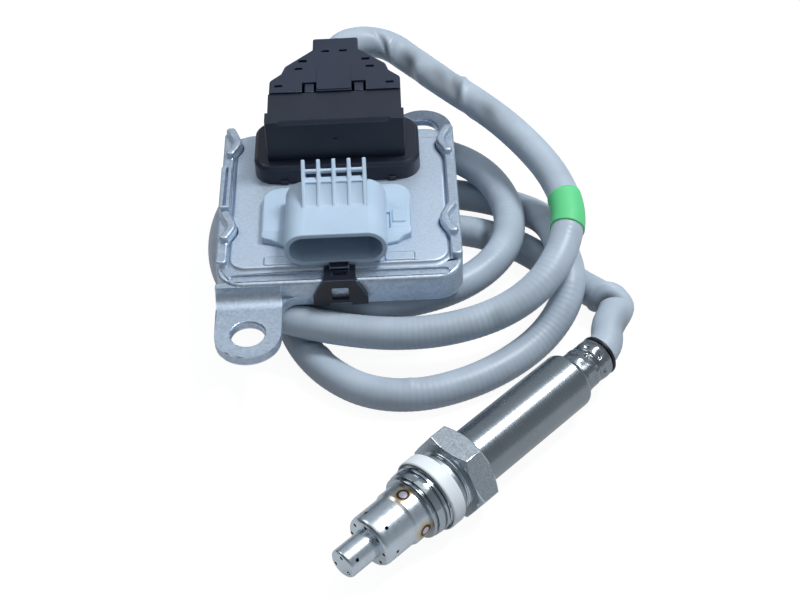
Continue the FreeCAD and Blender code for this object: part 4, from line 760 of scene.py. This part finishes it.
    def lamps(self, context):
        for name, place, size, power in LAMPS:
            data = bpy.data.lights.new(name, "AREA")
            data.shape = "DISK"
            data.size = size
            data.energy = power
            data.color = (0.97, 0.985, 1.0)
            lamp = bpy.data.objects.new(name, data)
            aim = LAMP_TARGET - Vector(place)
            turn = aim.to_track_quat("-Z", "Y").to_matrix().to_4x4()
            lamp.matrix_world = Matrix.Translation(place) @ turn
            context.scene.collection.objects.link(lamp)

    def world(self, context):
        world = bpy.data.worlds.new("world")
        world.use_nodes = True
        nodes = world.node_tree.nodes
        links = world.node_tree.links
        background = nodes["Background"]
        background.inputs["Color"].default_value = (0.93, 0.965, 1, 1)
        background.inputs["Strength"].default_value = 1.0
        shown = nodes.new("ShaderNodeBackground")
        shown.inputs["Color"].default_value = (1, 1, 1, 1)
        shown.inputs["Strength"].default_value = 1.0
        path = nodes.new("ShaderNodeLightPath")
        first = nodes.new("ShaderNodeMath")
        first.operation = "MAXIMUM"
        second = nodes.new("ShaderNodeMath")
        second.operation = "MAXIMUM"
        links.new(path.outputs["Is Camera Ray"], first.inputs[0])
        links.new(path.outputs["Is Glossy Ray"], first.inputs[1])
        links.new(first.outputs["Value"], second.inputs[0])
        links.new(path.outputs["Is Transmission Ray"], second.inputs[1])
        mix = nodes.new("ShaderNodeMixShader")
        links.new(second.outputs["Value"], mix.inputs["Fac"])
        links.new(background.outputs["Background"], mix.inputs[1])
        links.new(shown.outputs["Background"], mix.inputs[2])
        links.new(mix.outputs["Shader"], nodes["World Output"].inputs["Surface"])
        context.scene.world = world


# Control unit

class SENSOR_OT_housing(bpy.types.Operator):
    """Dress the cast tray and its cover."""

    bl_idname = "sensor.housing"
    bl_label = "Housing and cover"

    def execute(self, context):
        looks = context.scene.sensor_looks
        cast = metal("cast_finish", tuple(looks.cast_colour), 0.42, 1500, 0.03 * MM, 0.13, change=0.1,
                     share=0.74, patches=1100.0)
        cover = metal("cover_finish", tuple(looks.cover_colour), 0.48, 1700, 0.02 * MM, 0.08, change=0.08,
                      share=0.62, patches=1300.0)
        # The tray's and cover's rounded edges get a colour a quarter lighter: wear, and painted highlight
        worn_and_highlit_edge = metal("worn_and_highlit_cast_edge", toned(looks.cast_colour, 1.25), 0.3, 900, 0.001 * MM, 0.05,
                     change=0.03, share=0.85)
        dressed("housing_base", cast, 1.4 * looks.edge_round, edge_material=worn_and_highlit_edge)
        dressed("cover_plate", cover, looks.edge_round, edge_material=worn_and_highlit_edge, held=False)
        self.bead(metal("bead_finish", toned(looks.cast_colour, 0.8), 0.5, 2600, 0.01 * MM, 0.08,
                        share=0.6))
        return {"FINISHED"}

    def bead(self, material):
        """Sealing bead in the corner between the cover's edge and the rim.

        The path is the cover's outline, a rectangle with quarter circles at its corners. The
        cross-section is a hollow curve: the height falls with the square of the way out.
        """
        middle = np.array((COVER_LOW + COVER_HIGH) / 2)[:2]
        half = np.array((COVER_HIGH - COVER_LOW) / 2)[:2]
        quarter = np.arange(12) * math.pi / 22
        angle = np.concatenate([quarter + turn * math.pi / 2 for turn in range(4)])
        corner = np.repeat(np.array([[1, 1], [-1, 1], [-1, -1], [1, -1]]), 12, axis=0)
        outward = np.stack([np.cos(angle), np.sin(angle)], axis=1)
        way = np.linspace(0, 1, 5)
        out = np.concatenate([BEAD_INSET + (BEAD_WIDTH - BEAD_INSET) * way, [BEAD_WIDTH, BEAD_INSET]])
        rise = np.concatenate([BEAD_HEIGHT * (1 - way) ** 2, [-BEAD_DEPTH, -BEAD_DEPTH]])
        flat = (middle + corner * (half - COVER_CORNER))[:, None] + outward[:, None] * (
            COVER_CORNER + out[None, :, None])
        height = np.broadcast_to(RIM_TOP + rise, flat.shape[:2])
        ring = np.concatenate([flat, height[..., None]], axis=2)
        points = np.concatenate([ring, ring[:1]])
        piece = grid_object("bead", points, material, capped=False)
        merge_doubles(piece)
        piece.data.set_sharp_from_angle(angle=math.radians(50))
        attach(piece, "sensor")


class SENSOR_OT_board(bpy.types.Operator):
    """Give the pieces inside the control unit their finishes."""

    bl_idname = "sensor.board"
    bl_label = "Board"

    def execute(self, context):
        finish_node("circuit_board", plain_material("board_finish", sheen(26, 84, 52), 0.45))
        finish_node("board_chips", plain_material("chip_finish", sheen(38, 38, 42), 0.5))
        finish_node("board_capacitors", plain_material("capacitor_finish", sheen(168, 140, 104), 0.4))
        finish_node("thermal_pad", plain_material("pad_finish", sheen(150, 160, 178), 0.8))
        seal = plain_material("seal_finish", sheen(30, 32, 36), 0.7)
        contact = plain_material("contact_finish", sheen(206, 204, 196), 0.3, 1.0)
        for node in ("header_seal", "boot_seal", "cable_grommet"):
            finish_node(node, seal)
        for node in ("header_pins", "boot_contacts"):
            finish_node(node, contact)
        finish_node("boot_wires", plain_material("boot_wire_finish", sheen(196, 200, 206), 0.5))
        return {"FINISHED"}


class SENSOR_OT_header(bpy.types.Operator):
    """Dress the five-pin header and the front clip."""

    bl_idname = "sensor.header"
    bl_label = "Header and clip"

    def execute(self, context):
        looks = context.scene.sensor_looks
        moulding = plastic("header_finish", tuple(looks.header_colour), 0.42, 1800, 0.01 * MM, 0.03)
        dressed("connector_header", moulding, looks.edge_round, held=False)
        clip = plastic("clip_finish", sheen(22, 26, 38), 0.34, 2500, 0.004 * MM)
        # The clip's rounded edges get a paler colour: wear, and painted highlight
        rubbed_and_highlit_edge = plastic("clip_edge_wear_and_highlight", sheen(74, 84, 104), 0.3, 2500, 0.004 * MM)
        dressed("front_clip", clip, looks.edge_round, edge_material=rubbed_and_highlit_edge)
        return {"FINISHED"}


class SENSOR_OT_boot(bpy.types.Operator):
    """Dress the plug boot and its cap."""

    bl_idname = "sensor.boot"
    bl_label = "Boot"

    def execute(self, context):
        looks = context.scene.sensor_looks
        colour = tuple(looks.boot_colour)
        base_finish = plastic("boot_base_finish", colour, 0.42, 2600, 0.012 * MM)
        # Painted light: the cap's colour is the boot's made half again as light, for the light on its top
        lit_cap_finish = plastic("boot_cap_painted_light_finish", toned(colour, 1.5), 0.5, 2600, 0.015 * MM)
        # The boot's rounded edges get a colour almost twice as light: wear, and painted highlight
        rubbed_and_highlit_edge = plastic("boot_edge_wear_and_highlight", toned(colour, 1.9), 0.36, 2600, 0.004 * MM)
        dressed("boot_base", base_finish, looks.edge_round, edge_material=rubbed_and_highlit_edge)
        dressed("boot_cap", lit_cap_finish, looks.edge_round, edge_material=rubbed_and_highlit_edge)
        return {"FINISHED"}


# Probe

class SENSOR_OT_probe(bpy.types.Operator):
    """Dress the outside of the probe."""

    bl_idname = "sensor.probe"
    bl_label = "Probe"

    def execute(self, context):
        looks = context.scene.sensor_looks
        steel = tuple(looks.steel_colour)
        drawn = (8, 1, 1)
        dark_steel = toned(steel, 0.66)
        pale_steel = toned(steel, 1.45)
        sleeve = metal("sleeve_finish", dark_steel, 0.26, 260, 0.0005 * MM, 0.05, drawn, PROBE_HEADING,
                       change=0.02)
        tip_finish = metal("tip_finish", pale_steel, 0.3, 900, 0.001 * MM, 0.05, change=0.03,
                           patches=300.0)
        tube_finish = welded_metal("tube_finish", pale_steel, 0.3)
        turned_finish = metal("turned_finish", steel, 0.13, 900, 0.003 * MM, 0.06, drawn, PROBE_HEADING,
                              change=0.04)
        hex_finish = metal("hex_finish", steel, 0.44, 2100, 0.03 * MM, 0.2, change=0.12,
                           patches=1700.0)
        # The hexagon's rounded edges get a paler, glossier steel: wear, and painted highlight
        bright_and_highlit_edge = metal("hex_edge_wear_and_highlight", pale_steel, 0.22, 1800, 0.002 * MM, 0.04, change=0.04)
        dressed("outer_protection_tube", tube_finish, looks.fine_edge)
        dressed("inner_protection_tube", tip_finish, looks.fine_edge)
        dressed("seat_body", turned_finish, looks.fine_edge)
        dressed("sensor_sleeve", sleeve, looks.fine_edge)
        self.ferrule(metal("ferrule_finish", dark_steel, 0.24, 900, 0.001 * MM, 0.1, change=0.04,
                           patches=500.0))
        ring = plastic("ring_finish", sheen(24, 26, 32), 0.4, 2500, 0.01 * MM)
        dressed("conduit_seal", ring, looks.fine_edge)
        dressed("hex_screw", hex_finish, 1.8 * looks.fine_edge, "screw", edge_material=bright_and_highlit_edge)
        guard = plastic("guard_finish", tuple(looks.guard_colour), 0.45, 2000, 0.006 * MM, 0.02)
        dressed("thread_guard", guard, looks.fine_edge, "screw")
        return {"FINISHED"}

    def ferrule(self, material):
        """Crimped ferrule: two rounded bands, pressed in by a ring of jaws and of small punches.

        Radius at a station: the bore, or the band's crown less a fourth-power drop to its ends;
        less the jaws' cosine with eight waves round, strongest on the crown; less the punches,
        bell curves at eight angles beside the waist.
        """
        stations = np.linspace(FERRULE_FRONT, FERRULE_REAR, 90)
        angle = np.arange(144) * 2 * math.pi / 144
        front = stations < FERRULE_WAIST
        span = np.where(front, (stations - FERRULE_FRONT) / (FERRULE_WAIST - FERRULE_FRONT),
                        (stations - FERRULE_WAIST) / (FERRULE_REAR - FERRULE_WAIST))
        crown = 1 - np.abs(2 * span - 1) ** 4
        radius = FERRULE_FOOT + np.where(front, FERRULE_FRONT_CROWN, FERRULE_REAR_CROWN) * crown
        turns = JAW_COUNT * angle
        waves = np.where(front[:, None], np.cos(turns + 0.4), np.cos(turns + 1.3))
        pressed = JAW_DEPTH * (1 - waves) * crown[:, None] ** 2
        wander = FERRULE_WANDER * np.sin(3 * angle + stations[:, None] * 1.9) * crown[:, None]
        punched = np.zeros_like(pressed)
        for place, turn in ((FERRULE_WAIST + 1.3, 0.2), (FERRULE_WAIST - 1.4, 0.6)):
            apart = (angle - turn + math.pi / 8) % (math.pi / 4) - math.pi / 8
            along = (stations[:, None] - place) / PUNCH_LENGTH
            punched += PUNCH_DEPTH * np.exp(-along ** 4) * np.exp(-(apart[None, :] / PUNCH_ANGLE) ** 4)
        outer = radius[:, None] - pressed + wander - punched
        ends = np.full((1, len(angle)), FERRULE_BORE)
        radii = np.concatenate([ends, outer, ends, ends])
        places = np.concatenate([stations[:1], stations, stations[-1:], stations[:1]])
        points = around_probe(places[:, None], radii, angle[None, :])
        piece = grid_object("ferrule", points, material, capped=False)
        merge_doubles(piece)
        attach(piece, "sensor")
        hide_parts("crimp_ferrule")


class SENSOR_OT_probe_inside(bpy.types.Operator):
    """Give the pieces inside the probe their finishes."""

    bl_idname = "sensor.probe_inside"
    bl_label = "Probe inside"

    def execute(self, context):
        ceramic = plain_material("ceramic_finish", sheen(226, 222, 210), 0.5)
        for node in ("ceramic_element", "front_bush", "rear_bush", "contact_holder"):
            finish_node(node, ceramic)
        finish_node("talc_ring", plain_material("talc_finish", sheen(206, 208, 204), 0.9))
        finish_node("ferrule_grommet", plain_material("grommet_finish", sheen(30, 32, 36), 0.7))
        finish_node("lead_wires", plain_material("lead_finish", sheen(196, 200, 206), 0.5))
        return {"FINISHED"}


class SENSOR_PT_panel(bpy.types.Panel):
    """List of the steps that dress the sensor."""

    bl_idname = "SENSOR_PT_panel"
    bl_label = "Sensor"
    bl_space_type = "VIEW_3D"
    bl_region_type = "UI"
    bl_category = "Sensor"

    def draw(self, context):
        for step in STEPS:
            self.layout.operator(step.bl_idname)
        for name in SensorLooks.__annotations__:
            self.layout.prop(context.scene.sensor_looks, name)


STEPS = (
    SENSOR_OT_stage, SENSOR_OT_conduit, SENSOR_OT_housing, SENSOR_OT_board, SENSOR_OT_header,
    SENSOR_OT_boot, SENSOR_OT_probe, SENSOR_OT_probe_inside,
)
CLASSES = (SensorLooks, *STEPS, SENSOR_PT_panel)


def register():
    """Register the classes and hang the looks on the scene."""
    for item in CLASSES:
        bpy.utils.register_class(item)
    bpy.types.Scene.sensor_looks = bpy.props.PointerProperty(type=SensorLooks)


def unregister():
    """Undo register()."""
    del bpy.types.Scene.sensor_looks
    for item in reversed(CLASSES):
        bpy.utils.unregister_class(item)


def main():
    register()
    for step in STEPS:
        group, name = step.bl_idname.split(".")
        getattr(getattr(bpy.ops, group), name)()


if __name__ == "__main__":
    main()
